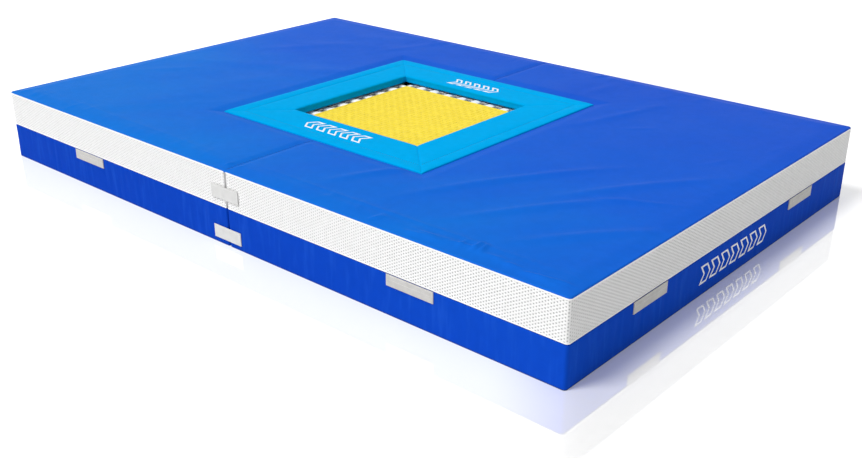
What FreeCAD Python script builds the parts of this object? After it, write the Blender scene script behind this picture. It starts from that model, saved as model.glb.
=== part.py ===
import FreeCAD, Part
import math
import os

# A low spring-bed springboard standing in the well of a two-layer landing mat.
# The mat parts into a left and a right half at x = 0. Millimetres, +Z up, origin on the floor at the middle.
# X runs along the mat's long side. "front" is -Y, "back" is +Y, "left" is -X and "right" is +X.
# A radius "r" of the square springboard is the distance from the middle to one of its four sides.

V = FreeCAD.Vector
os.makedirs("parts", exist_ok=True)

# ---- driving dimensions: landing mat
MAT_LENGTH = 3000.0
MAT_WIDTH = 2000.0
MAT_HEIGHT = 300.0
LAYER_HEIGHT = 150.0
LAYER_GAP = 0.5  # between the two layers
HALF_GAP = 1.0  # from x = 0 to each half
WELL_HALF = 556.0  # the square cut-out that the springboard stands in
SKIN = 1.0  # cover sheet thickness
BASE_THICK = 2.0  # anti-slip base sheet of the lower layer
CORNER_RADIUS = 12.0

# ---- driving dimensions: springboard
FRAME_HALF = 550.0
RAIL_SIZE = 40.0
RAIL_WALL = 2.0
RAIL_EDGE = 5.0
RAIL_TOP = 289.0
LEG_X = 490.0
LEG_RADIUS = 19.0
LEG_WALL = 2.0
FLANGE_LENGTH = 84.0
FLANGE_WIDTH = 38.0
FLANGE_THICK = 5.0
FOOT_RADIUS = 24.0
FOOT_HEIGHT = 45.0
FOOT_SOLE = 15.0
BAR_RADIUS = 12.5
SIDE_BAR_Z = 62.0
CROSS_BAR_Z = 95.0
BOLT_RADIUS = 4.0
BOLT_SPAN = 29.0  # from the leg's axis to each bolt
BOLT_HEAD = 5.3
BOLT_ACROSS_FLATS = 13.0
GUSSET_LEG = 80.0
GUSSET_THICK = 5.0

# ---- driving dimensions: bed, rings and springs
BED_HALF = 300.0
BED_TOP = 275.0
BED_THICK = 4.0
HEM_WIDTH = 38.0
HEM_THICK = 3.0
SPRINGS_PER_SIDE = 8
SPRING_PITCH = 80.0
SPRING_Z = 264.0
RING_WIRE = 3.0  # wire radius
RING_IN = 308.0
RING_OUT = 352.0
RING_WIDTH = 33.0
RING_BEND = 7.0
LOOP_WIDTH = 20.0
LOOP_WALL = 1.6
LOOP_TAIL = 262.0
SPRING_RADIUS = 10.0
SPRING_BORE = 6.8
SPRING_WIRE = 1.6  # wire radius
HOOK_BAR_R = 492.0
HOOK_BAR_RADIUS = 4.0
HOOK_CLEAR = 0.3
GUARD_THICK = 1.2
GUARD_FLAT = 350.0  # outside this the strip lies level, just below the springs
GUARD_OUT = 430.0
GUARD_HALF_LENGTH = 318.0
GUARD_Z = 252.0

# ---- driving dimensions: frame pad
OPENING_HALF = 345.0
PAD_HALF = 555.0
PAD_TOP = 303.0
PAD_BOTTOM = 275.0
PAD_STEP = 495.0  # inside this the foam is thick, outside it lies over the rail
PAD_OVER_RAIL = RAIL_TOP + 0.5
TIE_WIDTH = 30.0
TIE_LENGTH = 64.0
TIE_R = 551.5
TIE_THICK = 1.2
TIE_PLACES = (-330.0, 0.0, 330.0)

# ---- driving dimensions: closing tabs and bridging straps
TAB_WIDTH = 200.0
TAB_DROP = 42.0
TAB_ON_LONG_SIDE = 900.0
TAB_ON_SHORT_SIDE = 550.0
PATCH_THICK = 0.8
FLAP_STAND_OFF = 1.2  # from the mat's side to the inner face of a tab or strap
FLAP_THICK = 2.0
STRAP_START = -80.0
STRAP_END = 70.0
STRAP_PATCH_START = 8.0
STRAP_HEIGHT = 52.0
STRAP_LOWER_Z = 20.0
STRAP_UPPER_Z = 182.0

SIDES = {"front": 180.0, "left": 90.0, "back": 0.0, "right": -90.0}


# ---------------------------------------------------------------- helpers
def save(node, *solids):
    """Writes one node as a STEP file and prints its size."""
    shape = solids[0] if len(solids) == 1 else Part.makeCompound(list(solids))
    shape.exportStep("parts/" + node + ".step")
    print(node, len(shape.Solids), "solids", round(shape.Volume / 1e3, 1), "cm3", shape.isValid())


def box(x0, x1, y0, y1, z0, z1):
    """Upright box between two corners."""
    low = V(min(x0, x1), min(y0, y1), min(z0, z1))
    return Part.makeBox(abs(x1 - x0), abs(y1 - y0), abs(z1 - z0), low)


def turned(shape, angle):
    """A copy turned about the vertical axis through the middle."""
    copy = shape.copy()
    copy.rotate(V(0, 0, 0), V(0, 0, 1), angle)
    return copy


def moved(shape, x):
    """A copy shifted sideways."""
    copy = shape.copy()
    copy.translate(V(x, 0, 0))
    return copy


def prism(points, z0, z1):
    """Upright prism on a plan outline."""
    face = Part.Face(Part.makePolygon([V(x, y, z0) for x, y in points + points[:1]]))
    return face.extrude(V(0, 0, z1 - z0))


def side_face(points):
    """Face in the (r, z) section of the back side, at x = 0."""
    return Part.Face(Part.makePolygon([V(0, r, z) for r, z in points + points[:1]]))


def along_side(face, half_length):
    """Section of the back side drawn out along it."""
    start = face.copy()
    start.translate(V(-half_length, 0, 0))
    return start.extrude(V(2 * half_length, 0, 0))


def mitre(shape, inset=0.0):
    """Cuts a run of the back side to the 45 degree joints at its two corners."""
    shift = inset * math.sqrt(2)
    reach = 2 * PAD_HALF
    wedge = prism([(0, shift), (reach, reach + shift), (-reach, reach + shift)], 0, 2 * MAT_HEIGHT)
    return shape.common(wedge)


def rounded_section(r0, r1, z0, z1, radius):
    """Rounded rectangle in the (r, z) section."""
    blank = Part.makeBox(1, r1 - r0, z1 - z0, V(0, r0, z0))
    edges = [e for e in blank.Edges if abs(e.Vertexes[0].X - e.Vertexes[1].X) > 0.5]
    rounded = blank.makeFillet(radius, edges)
    faces = [f for f in rounded.Faces if f.CenterOfMass.x < 1e-6]
    return faces[0]


def spring_places():
    """Places of the springs along the back side."""
    first = -(SPRINGS_PER_SIDE - 1) / 2 * SPRING_PITCH
    return [first + i * SPRING_PITCH for i in range(SPRINGS_PER_SIDE)]


# ---------------------------------------------------------------- springboard frame
def rail(side):
    """Square tube rail, mitred into its neighbours."""
    bottom = RAIL_TOP - RAIL_SIZE
    inner = FRAME_HALF - RAIL_SIZE
    outside = rounded_section(inner, FRAME_HALF, bottom, RAIL_TOP, RAIL_EDGE)
    w = RAIL_WALL
    inside = rounded_section(inner + w, FRAME_HALF - w, bottom + w, RAIL_TOP - w, RAIL_EDGE - w)
    tube = along_side(outside, PAD_HALF).cut(along_side(inside, PAD_HALF + 1))
    if side in ("front", "back"):
        for x in (-LEG_X, LEG_X):
            for dx in (-BOLT_SPAN, BOLT_SPAN):
                foot = V(x + dx, FRAME_HALF - RAIL_SIZE / 2, bottom - 1)
                tube = tube.cut(Part.makeCylinder(BOLT_RADIUS + 0.2, RAIL_WALL + 2, foot))
    return turned(mitre(tube), SIDES[side])


def leg():
    """Tube leg with a welded bolting flange, standing under the back rail at x = LEG_X."""
    axis_y = FRAME_HALF - RAIL_SIZE / 2
    under_rail = RAIL_TOP - RAIL_SIZE
    flange_bottom = under_rail - FLANGE_THICK
    tube = Part.makeCylinder(LEG_RADIUS, flange_bottom - FOOT_SOLE, V(LEG_X, axis_y, FOOT_SOLE))
    bore = Part.makeCylinder(LEG_RADIUS - LEG_WALL, flange_bottom - FOOT_SOLE, V(LEG_X, axis_y, FOOT_SOLE))
    flange = box(LEG_X - FLANGE_LENGTH / 2, LEG_X + FLANGE_LENGTH / 2,
                 axis_y - FLANGE_WIDTH / 2, axis_y + FLANGE_WIDTH / 2, flange_bottom, under_rail)
    shape = tube.cut(bore).fuse(flange)
    for dx in (-BOLT_SPAN, BOLT_SPAN):
        under = V(LEG_X + dx, axis_y, flange_bottom - 1)
        hole = Part.makeCylinder(BOLT_RADIUS + 0.2, FLANGE_THICK + 2, under)
        shape = shape.cut(hole)
    return shape


def rubber_foot():
    """Rubber cup pushed on the end of the leg."""
    axis_y = FRAME_HALF - RAIL_SIZE / 2
    cup = Part.makeCylinder(FOOT_RADIUS, FOOT_HEIGHT, V(LEG_X, axis_y, 0))
    rim = [e for e in cup.Edges if len(e.Vertexes) == 1 and e.Length > 100]
    cup = cup.makeFillet(2.0, rim)
    pocket = Part.makeCylinder(LEG_RADIUS, FOOT_HEIGHT, V(LEG_X, axis_y, FOOT_SOLE))
    return cup.cut(pocket)


def leg_bolt(dx):
    """Bolt that holds a leg's flange under the back rail, dx from the leg's axis."""
    axis_y = FRAME_HALF - RAIL_SIZE / 2
    seat = RAIL_TOP - RAIL_SIZE - FLANGE_THICK
    shank_length = BOLT_HEAD + FLANGE_THICK + 14
    shank = Part.makeCylinder(BOLT_RADIUS, shank_length, V(LEG_X + dx, axis_y, seat - BOLT_HEAD))
    circumradius = BOLT_ACROSS_FLATS / math.sqrt(3)
    corners = []
    for i in range(6):
        turn = math.radians(60 * i)
        corners.append((LEG_X + dx + circumradius * math.cos(turn), axis_y + circumradius * math.sin(turn)))
    return shank.fuse(prism(corners, seat - BOLT_HEAD, seat))


def four_corners(shape):
    """The shape at (LEG_X, +y) repeated at the four legs by mirroring."""
    across = shape.mirror(V(0, 0, 0), V(1, 0, 0))
    pair = [shape, across]
    return pair + [s.mirror(V(0, 0, 0), V(0, 1, 0)) for s in pair]


def lower_bars():
    """Four tubes that tie the legs together just above the floor."""
    axis_y = FRAME_HALF - RAIL_SIZE / 2
    legs = four_corners(Part.makeCylinder(LEG_RADIUS, MAT_HEIGHT, V(LEG_X, axis_y, 0)))
    bars = []
    for sign in (-1, 1):
        runs = (
            (V(sign * LEG_X, -axis_y, SIDE_BAR_Z), V(0, 1, 0), 2 * axis_y),
            (V(-LEG_X, sign * axis_y, CROSS_BAR_Z), V(1, 0, 0), 2 * LEG_X),
        )
        for start, way, length in runs:
            tube = Part.makeCylinder(BAR_RADIUS, length, start, way)
            tube = tube.cut(Part.makeCylinder(BAR_RADIUS - RAIL_WALL, length, start, way))
            for post in legs:
                tube = tube.cut(post)
            bars.append(max(tube.Solids, key=lambda s: s.Volume))
    return bars


def corner_gusset():
    """Triangular plate welded inside a corner of the rails."""
    inner = FRAME_HALF - RAIL_SIZE
    low = RAIL_TOP - RAIL_SIZE + 4
    corners = [(inner, inner), (inner - GUSSET_LEG, inner), (inner, inner - GUSSET_LEG)]
    return prism(corners, low, low + GUSSET_THICK)


def hook_bar():
    """Round bar on brackets, inside the back rail, that the springs hook on."""
    end = SPRINGS_PER_SIDE / 2 * SPRING_PITCH
    shape = Part.makeCylinder(HOOK_BAR_RADIUS, 2 * end, V(-end, HOOK_BAR_R, SPRING_Z), V(1, 0, 0))
    inner = FRAME_HALF - RAIL_SIZE
    for i in range(SPRINGS_PER_SIDE + 1):
        x = -end + i * SPRING_PITCH
        bracket = box(x - 2, x + 2, HOOK_BAR_R - 8, inner, SPRING_Z - 8, SPRING_Z + 8)
        shape = shape.fuse(bracket)
    return shape


# ---------------------------------------------------------------- bed
def bed_fabric():
    """The bed as one thin slab with rounded corners."""
    sheet = box(-BED_HALF, BED_HALF, -BED_HALF, BED_HALF, BED_TOP - BED_THICK, BED_TOP)
    corners = [e for e in sheet.Edges if abs(e.Vertexes[0].Z - e.Vertexes[1].Z) > 1]
    return sheet.makeFillet(6.0, corners)


def bed_hem():
    """Doubled edge webbing under the rim of the bed."""
    top = BED_TOP - BED_THICK
    outer = box(-BED_HALF, BED_HALF, -BED_HALF, BED_HALF, top - HEM_THICK, top)
    corners = [e for e in outer.Edges if abs(e.Vertexes[0].Z - e.Vertexes[1].Z) > 1]
    inside = BED_HALF - HEM_WIDTH
    return outer.makeFillet(6.0, corners).cut(box(-inside, inside, -inside, inside, 0, MAT_HEIGHT))


def ring_loop():
    """Webbing loop sewn under the hem, folded round a ring."""
    under_hem = BED_TOP - BED_THICK - HEM_THICK
    hole = RING_WIRE + 0.2
    start = V(-LOOP_WIDTH / 2, RING_IN, SPRING_Z)
    fold = Part.makeCylinder(hole + LOOP_WALL, LOOP_WIDTH, start, V(1, 0, 0))
    tail_top = under_hem
    tail = box(-LOOP_WIDTH / 2, LOOP_WIDTH / 2, LOOP_TAIL, RING_IN, tail_top - 2 * LOOP_WALL, tail_top)
    return fold.fuse(tail).cut(Part.makeCylinder(hole, LOOP_WIDTH, start, V(1, 0, 0)))


def ring():
    """Closed rectangular wire ring between a webbing loop and a spring."""
    half = RING_WIDTH / 2
    b = RING_BEND
    corners = (
        (half - b, RING_OUT - b, 0),
        (-half + b, RING_OUT - b, 90),
        (-half + b, RING_IN + b, 180),
        (half - b, RING_IN + b, 270),
    )
    shape = None
    for x, r, start in corners:
        bend = Part.makeTorus(b, RING_WIRE, V(0, 0, 0), V(0, 0, 1), -180, 180, 90)
        bend.rotate(V(0, 0, 0), V(0, 0, 1), start)
        bend.translate(V(x, r, SPRING_Z))
        shape = bend if shape is None else shape.fuse(bend)
    for r in (RING_IN, RING_OUT):
        long_side = Part.makeCylinder(RING_WIRE, 2 * (half - b), V(-half + b, r, SPRING_Z), V(1, 0, 0))
        shape = shape.fuse(long_side)
    for x in (-half, half):
        run = RING_OUT - RING_IN - 2 * b
        shape = shape.fuse(Part.makeCylinder(RING_WIRE, run, V(x, RING_IN + b, SPRING_Z), V(0, 1, 0)))
    return shape


def hook(centre, bar_radius, towards):
    """Three-quarter wire hook round a bar, with a stem towards the spring's body."""
    radius = bar_radius + HOOK_CLEAR + SPRING_WIRE
    turn = Part.makeTorus(radius, SPRING_WIRE, V(0, 0, 0), V(0, 0, 1), -180, 180, 270)
    turn.rotate(V(0, 0, 0), V(0, 1, 0), 90)
    turn.rotate(V(0, 0, 0), V(1, 0, 0), 90 if towards > 0 else 0)
    turn.translate(V(0, centre, SPRING_Z))
    stem = Part.makeCylinder(SPRING_WIRE, 2.5, V(0, centre + towards * radius, SPRING_Z), V(0, towards, 0))
    return turn.fuse(stem)


def spring():
    """Extension spring: its close-wound coils as a tube, closed at the ends, with a hook at each end."""
    start = RING_OUT + RING_WIRE + HOOK_CLEAR + SPRING_WIRE + 2
    end = HOOK_BAR_R - HOOK_BAR_RADIUS - HOOK_CLEAR - SPRING_WIRE - 2
    length = end - start
    body = Part.makeCylinder(SPRING_RADIUS, length, V(0, start, SPRING_Z), V(0, 1, 0))
    bore_start = V(0, start + 2 * SPRING_WIRE, SPRING_Z)
    hollow = Part.makeCylinder(SPRING_BORE, length - 4 * SPRING_WIRE, bore_start, V(0, 1, 0))
    shape = body.cut(hollow)
    shape = shape.fuse(hook(RING_OUT, RING_WIRE, 1))
    return shape.fuse(hook(HOOK_BAR_R, HOOK_BAR_RADIUS, -1))


def spring_guard():
    """White fabric strip sewn under the hem, lying below the rings and the inner half of the springs."""
    seam = BED_TOP - BED_THICK - HEM_THICK - 2 * LOOP_WALL
    t = GUARD_THICK
    outline = [
        (LOOP_TAIL + 2, seam),
        (LOOP_TAIL + 32, seam),
        (LOOP_TAIL + 40, GUARD_Z + 4),
        (GUARD_FLAT, GUARD_Z + t),
        (GUARD_OUT, GUARD_Z + t),
        (GUARD_OUT, GUARD_Z),
        (GUARD_FLAT, GUARD_Z),
        (LOOP_TAIL + 39, GUARD_Z + 4 - t),
        (LOOP_TAIL + 31, seam - t),
        (LOOP_TAIL + 2, seam - t),
    ]
    return mitre(along_side(side_face(outline), GUARD_HALF_LENGTH))


# ---------------------------------------------------------------- frame pad
def pad_section(inset):
    """Stepped section of the pad: thick over the springs, thin over the rail."""
    return side_face([
        (OPENING_HALF + inset, PAD_BOTTOM + inset),
        (PAD_STEP - inset, PAD_BOTTOM + inset),
        (PAD_STEP - inset, PAD_OVER_RAIL + inset),
        (PAD_HALF - inset, PAD_OVER_RAIL + inset),
        (PAD_HALF - inset, PAD_TOP - inset),
        (OPENING_HALF + inset, PAD_TOP - inset),
    ])


def pad_foam():
    """Foam of the back side of the frame pad."""
    return mitre(along_side(pad_section(SKIN), PAD_HALF), SKIN)


def pad_cover():
    """Cover of the back side of the frame pad, a shell round its foam."""
    return mitre(along_side(pad_section(0.0), PAD_HALF)).cut(pad_foam())


def pad_ties():
    """Flat fixing straps that hang from the pad between the rail and the mat."""
    ties = []
    for angle in SIDES.values():
        for x in TIE_PLACES:
            strap = box(x - TIE_WIDTH / 2, x + TIE_WIDTH / 2, TIE_R, TIE_R + TIE_THICK,
                        PAD_OVER_RAIL - TIE_LENGTH, PAD_OVER_RAIL)
            ties.append(turned(strap, angle))
    return ties


# ---------------------------------------------------------------- landing mat
def half_outline(inset):
    """Plan of the right half: a C round the well, inset from every side."""
    near = HALF_GAP + inset
    far = MAT_LENGTH / 2 - inset
    wide = MAT_WIDTH / 2 - inset
    well = WELL_HALF + inset
    round_well = [(near, well), (well, well), (well, -well), (near, -well)]
    return [(near, wide)] + round_well + [(near, -wide), (far, -wide), (far, wide)]


def half_prism(inset, z0, z1):
    """The right half's plan drawn up, with its two outer corners rounded."""
    solid = prism(half_outline(inset), z0, z1)
    corners = []
    for e in solid.Edges:
        a, b = e.Vertexes[0], e.Vertexes[-1]
        if abs(a.Z - b.Z) > 0.1 and a.X > MAT_LENGTH / 2 - inset - 1:
            corners.append(e)
    return solid.makeFillet(CORNER_RADIUS - inset, corners)


def foam_blocks(z0, z1):
    """Foam core of the right half, glued from two arms and a slab."""
    near = HALF_GAP + SKIN
    wide = MAT_WIDTH / 2 - SKIN
    well = WELL_HALF + SKIN
    arms = [box(near, well, s * well, s * wide, z0, z1) for s in (-1, 1)]
    return arms + [half_prism(SKIN, z0, z1).common(box(well, MAT_LENGTH, -MAT_WIDTH, MAT_WIDTH, z0, z1))]


def base_panels():
    """Anti-slip base sheet of the lower layer, welded from three panels."""
    arms = [box(HALF_GAP, WELL_HALF, s * WELL_HALF, s * MAT_WIDTH / 2, 0, BASE_THICK) for s in (-1, 1)]
    beyond_well = box(WELL_HALF, MAT_LENGTH, -MAT_WIDTH, MAT_WIDTH, 0, BASE_THICK)
    slab = half_prism(0.0, 0, BASE_THICK).common(beyond_well)
    return arms + [slab]


def save_both(name, solids):
    """Saves the right half's node and its mirrored copy for the left half."""
    save("right_" + name, *solids)
    save("left_" + name, *[s.mirror(V(0, 0, 0), V(1, 0, 0)) for s in solids])


def lower_layer():
    """Base, foam and cover of the lower layer of both halves."""
    save_both("lower_base", base_panels())
    save_both("lower_foam", foam_blocks(BASE_THICK, LAYER_HEIGHT - SKIN))
    shell = half_prism(0.0, BASE_THICK, LAYER_HEIGHT).cut(half_prism(SKIN, BASE_THICK, LAYER_HEIGHT - SKIN))
    save_both("lower_cover", [shell])


def upper_layer():
    """Base, foam, side band and top sheet of the upper layer of both halves."""
    bottom = LAYER_HEIGHT + LAYER_GAP
    top = MAT_HEIGHT - SKIN
    save_both("upper_base", [half_prism(0.0, bottom, bottom + SKIN)])
    save_both("upper_foam", foam_blocks(bottom + SKIN, top))
    band = half_prism(0.0, bottom + SKIN, top).cut(half_prism(SKIN, bottom + SKIN, top))
    save_both("upper_mesh_band", [band])
    save_both("upper_top_sheet", [half_prism(0.0, top, MAT_HEIGHT)])


# ---------------------------------------------------------------- tabs, straps and their landing patches
def on_side(side, along, width, z0, z1, gap, thick):
    """Flat piece lying outside one side of the mat, centred at "along"."""
    half = width / 2
    if side in ("front", "back"):
        face = MAT_WIDTH / 2 * (1 if side == "back" else -1)
        out = math.copysign(1, face)
        return box(along - half, along + half, face + out * gap, face + out * (gap + thick), z0, z1)
    face = MAT_LENGTH / 2 * (1 if side == "right" else -1)
    out = math.copysign(1, face)
    return box(face + out * gap, face + out * (gap + thick), along - half, along + half, z0, z1)


def tab_places(half):
    """Name, side and place along the side of the four tabs of one half."""
    sign = 1 if half == "right" else -1
    long_side = sign * TAB_ON_LONG_SIDE
    return [
        ("tab_front_" + half, "front", long_side),
        ("tab_back_" + half, "back", long_side),
        ("tab_" + half + "_front", half, -TAB_ON_SHORT_SIDE),
        ("tab_" + half + "_back", half, TAB_ON_SHORT_SIDE),
    ]


def tabs_and_straps():
    """Closing tabs, bridging straps, and the patches that they land on."""
    strap_middle = (STRAP_START + STRAP_END) / 2
    strap_width = STRAP_END - STRAP_START
    patch_middle = (STRAP_PATCH_START + STRAP_END) / 2
    patch_width = STRAP_END - STRAP_PATCH_START
    patches = {"left": [], "right": []}
    for half in ("left", "right"):
        for name, side, along in tab_places(half):
            low = LAYER_HEIGHT - TAB_DROP
            save(name, on_side(side, along, TAB_WIDTH, low, LAYER_HEIGHT, FLAP_STAND_OFF, FLAP_THICK))
            patches[half].append(on_side(side, along, TAB_WIDTH, low, LAYER_HEIGHT - 1, 0, PATCH_THICK))
    upper_patches = []
    for side in ("front", "back"):
        for layer, low in (("upper", STRAP_UPPER_Z), ("lower", STRAP_LOWER_Z)):
            high = low + STRAP_HEIGHT
            strap = on_side(side, strap_middle, strap_width, low, high, FLAP_STAND_OFF, FLAP_THICK)
            save("strap_" + layer + "_" + side, strap)
            patch = on_side(side, patch_middle, patch_width, low, high, 0, PATCH_THICK)
            (upper_patches if layer == "upper" else patches["right"]).append(patch)
    save("left_lower_loop_patches", *patches["left"])
    save("right_lower_loop_patches", *patches["right"])
    save("right_upper_loop_patches", *upper_patches)


# ---------------------------------------------------------------- the model
def springboard():
    """The frame that stands in the well of the mat."""
    for side in SIDES:
        save("rail_" + side, rail(side))
    corners = ("back_right", "back_left", "front_right", "front_left")
    for name, shape in zip(corners, four_corners(leg())):
        save("leg_" + name, shape)
    save("rubber_feet", *four_corners(rubber_foot()))
    bolts = []
    for dx in (-BOLT_SPAN, BOLT_SPAN):
        bolts += four_corners(leg_bolt(dx))
    save("leg_bolts", *bolts)
    save("lower_bars", *lower_bars())
    save("corner_gussets", *[turned(corner_gusset(), 90 * i) for i in range(4)])
    save("hook_bars", *[turned(hook_bar(), a) for a in SIDES.values()])


def bed_and_springs():
    """The bed, its rings and springs, and the fabric under the rings."""
    save("bed_fabric", bed_fabric())
    save("bed_hem", bed_hem())
    places = [(x, a) for a in SIDES.values() for x in spring_places()]
    one_loop = ring_loop()
    one_ring = ring()
    one_spring = spring()
    save("ring_loops", *[turned(mitre(moved(one_loop, x)), a) for x, a in places])
    save("bed_rings", *[turned(moved(one_ring, x), a) for x, a in places])
    for side, angle in SIDES.items():
        save("springs_" + side, *[turned(moved(one_spring, x), angle) for x in spring_places()])
    save("spring_guard", *[turned(spring_guard(), a) for a in SIDES.values()])


def frame_pad():
    """The four sections of the frame pad, and its ties."""
    foam = pad_foam()
    cover = pad_cover()
    for side, angle in SIDES.items():
        save("pad_foam_" + side, turned(foam, angle))
        save("pad_cover_" + side, turned(cover, angle))
    save("pad_ties", *pad_ties())


springboard()
bed_and_springs()
frame_pad()
lower_layer()
upper_layer()
tabs_and_straps()
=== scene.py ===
"""Looks of the springboard in its two-layer landing mat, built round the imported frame. Metres, +Z up.

"Front" is -Y, "back" is +Y, "left" is -X and "right" is +X. A radius r of the square springboard is the
distance from the middle to one of its sides. Side pieces are made for the back side and turned into place;
mat pieces are made for the right half and mirrored for the left one.
"""
import math

import bmesh
import bpy
import numpy as np
from mathutils import Matrix, Vector


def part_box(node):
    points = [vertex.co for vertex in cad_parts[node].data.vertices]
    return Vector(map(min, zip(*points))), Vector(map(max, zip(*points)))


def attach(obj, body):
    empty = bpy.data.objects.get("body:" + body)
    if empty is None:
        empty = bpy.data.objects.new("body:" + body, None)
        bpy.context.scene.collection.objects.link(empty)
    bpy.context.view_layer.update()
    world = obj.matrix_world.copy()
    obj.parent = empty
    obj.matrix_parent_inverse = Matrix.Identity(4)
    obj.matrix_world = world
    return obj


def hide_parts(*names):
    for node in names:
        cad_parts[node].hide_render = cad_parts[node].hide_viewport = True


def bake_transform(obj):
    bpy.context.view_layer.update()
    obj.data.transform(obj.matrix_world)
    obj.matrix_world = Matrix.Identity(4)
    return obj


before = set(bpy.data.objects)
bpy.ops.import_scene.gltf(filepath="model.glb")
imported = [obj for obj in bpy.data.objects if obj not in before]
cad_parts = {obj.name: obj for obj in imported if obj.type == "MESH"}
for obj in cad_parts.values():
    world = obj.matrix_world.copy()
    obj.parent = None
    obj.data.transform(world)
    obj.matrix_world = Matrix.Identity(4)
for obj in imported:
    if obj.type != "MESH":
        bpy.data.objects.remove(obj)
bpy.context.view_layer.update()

MM = 0.001

# ---- sizes read from the frame
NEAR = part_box("right_upper_top_sheet")[0].x  # from x = 0 to each half of the mat
FAR, WIDE, MAT_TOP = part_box("right_upper_top_sheet")[1]
UPPER_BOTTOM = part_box("right_upper_base")[0].z
LOWER_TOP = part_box("right_lower_cover")[1].z
BASE_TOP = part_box("right_lower_base")[1].z
BED_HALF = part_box("bed_fabric")[1].x
BED_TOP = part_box("bed_fabric")[1].z
HEM_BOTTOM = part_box("bed_hem")[0].z
PAD_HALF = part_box("pad_cover_back")[1].y
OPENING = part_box("pad_cover_back")[0].y
PAD_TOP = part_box("pad_cover_back")[1].z
PAD_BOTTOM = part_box("pad_cover_back")[0].z
SPRING_Z = (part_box("bed_rings")[0].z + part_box("bed_rings")[1].z) / 2
GUARD_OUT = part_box("spring_guard")[1].y
GUARD_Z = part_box("spring_guard")[0].z

# ---- sizes that the frame's boxes don't give
WELL = 0.556  # half the square cut-out of the mat
CORNER = 12 * MM  # radius of the mat's outer upright corners
SEAM_CORNER = 9 * MM  # the same at the joint between the halves
WELL_CORNER = 6 * MM
PAD_STEP = 0.495  # outside this radius the pad lies over the rail
PAD_OVER_RAIL = 0.2895
SPRING_PITCH = 0.080
SPRINGS_PER_SIDE = 8
RING_IN = 0.308
RING_OUT = 0.352
RING_WIRE = 3 * MM
SPRING_RADIUS = 10 * MM
SPRING_WIRE = 1.6 * MM
HOOK_BAR_R = 0.492
HOOK_BAR_RADIUS = 4 * MM
TURNS = {"back": 0, "left": 90, "front": 180, "right": 270}
HALVES = {"right": 1, "left": -1}


# ---------------------------------------------------------------- mesh tools
def linked(name, data):
    """A new object in the scene."""
    made = bpy.data.objects.new(name, data)
    bpy.context.scene.collection.objects.link(made)
    return made


class Shape:
    """Points and faces gathered for one piece."""

    def __init__(self):
        self.points = []
        self.faces = []
        self.count = 0

    def add(self, points, *face_blocks):
        """Adds points and the faces that index them."""
        points = np.asarray(points, float).reshape(-1, 3)
        self.points.append(points)
        for block in face_blocks:
            self.faces.append(np.asarray(block, int) + self.count)
        self.count += len(points)

    def object(self, name, finish, mirrored=False, closed=False):
        """The piece as a mesh object; a closed piece is welded and its faces turned outwards."""
        points = np.concatenate(self.points)
        if mirrored:
            points = points * (-1, 1, 1)
        step = -1 if mirrored else 1
        faces = [face[::step] for block in self.faces for face in block.tolist()]
        mesh = bpy.data.meshes.new(name)
        mesh.from_pydata(points.tolist(), [], faces)
        work = bmesh.new()
        work.from_mesh(mesh)
        loose = [v for v in work.verts if not v.link_faces]
        bmesh.ops.delete(work, geom=loose, context="VERTS")
        if closed:
            bmesh.ops.remove_doubles(work, verts=work.verts, dist=1e-6)
            bmesh.ops.recalc_face_normals(work, faces=work.faces)
        for face in work.faces:
            face.smooth = True
        work.to_mesh(mesh)
        work.free()
        mesh.materials.append(finish)
        return linked(name, mesh)


def lattice(rows, columns, wrap_rows=False, wrap_columns=False):
    """Quads of a lattice of points; they face columns x rows."""
    i = np.arange(rows if wrap_rows else rows - 1)
    j = np.arange(columns if wrap_columns else columns - 1)
    i, j = (a.ravel() for a in np.meshgrid(i, j, indexing="ij"))
    i_next, j_next = (i + 1) % rows, (j + 1) % columns
    corners = (i * columns + j, i * columns + j_next, i_next * columns + j_next, i_next * columns + j)
    return np.stack(corners, axis=-1)


def turned(points, degrees):
    """Points turned about the upright axis through the middle."""
    a = math.radians(degrees)
    turn = np.array(((math.cos(a), math.sin(a), 0), (-math.sin(a), math.cos(a), 0), (0, 0, 1)))
    return np.asarray(points, float) @ turn


def smoothstep(value):
    """Eases from 0 to 1 as a value goes from 0 to 1."""
    value = np.clip(value, 0, 1)
    return value * value * (3 - 2 * value)


def roll_drop(distance, radius):
    """How far a sheet has dropped where it rolls over an edge, at a distance from that edge."""
    short = np.clip(radius - distance, 0, radius)
    return radius - np.sqrt(radius**2 - short**2)


def roll_lines(radius, steps=6):
    """Distances from an edge at which a sheet that rolls over it needs points."""
    return radius * (1 - np.cos(np.linspace(0, math.pi / 2, steps)))


def between(low, high, spacing):
    """Evenly spaced values strictly between two others."""
    count = max(1, round((high - low) / spacing))
    return np.linspace(low, high, count + 1)[1:-1]


def stepped(corners, steps):
    """Points along a run of corners, at shares of the way from each one to the next."""
    corners = np.array(corners, float)
    return np.concatenate([a + (b - a) * steps[:, None] for a, b in zip(corners, corners[1:])])


def swept(shape, path, radius, sides=6):
    """Adds a round tube along a path to a shape."""
    path = np.asarray(path, float)
    along = np.gradient(path, axis=0)
    along /= np.linalg.norm(along, axis=1)[:, None]
    normal = np.cross(along[0], (0.31, 0.17, 0.93))
    angles = np.arange(sides) * 2 * math.pi / sides
    rings = []
    for point, way in zip(path, along):
        normal = normal - way * normal.dot(way)
        normal /= np.linalg.norm(normal)
        side = np.cross(way, normal)
        rings.append(point + radius * (np.outer(np.cos(angles), normal) + np.outer(np.sin(angles), side)))
    last = (len(path) - 1) * sides
    caps = np.array((np.arange(sides)[::-1], np.arange(sides) + last))
    shape.add(np.concatenate(rings), lattice(len(path), sides, wrap_columns=True), caps)


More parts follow.
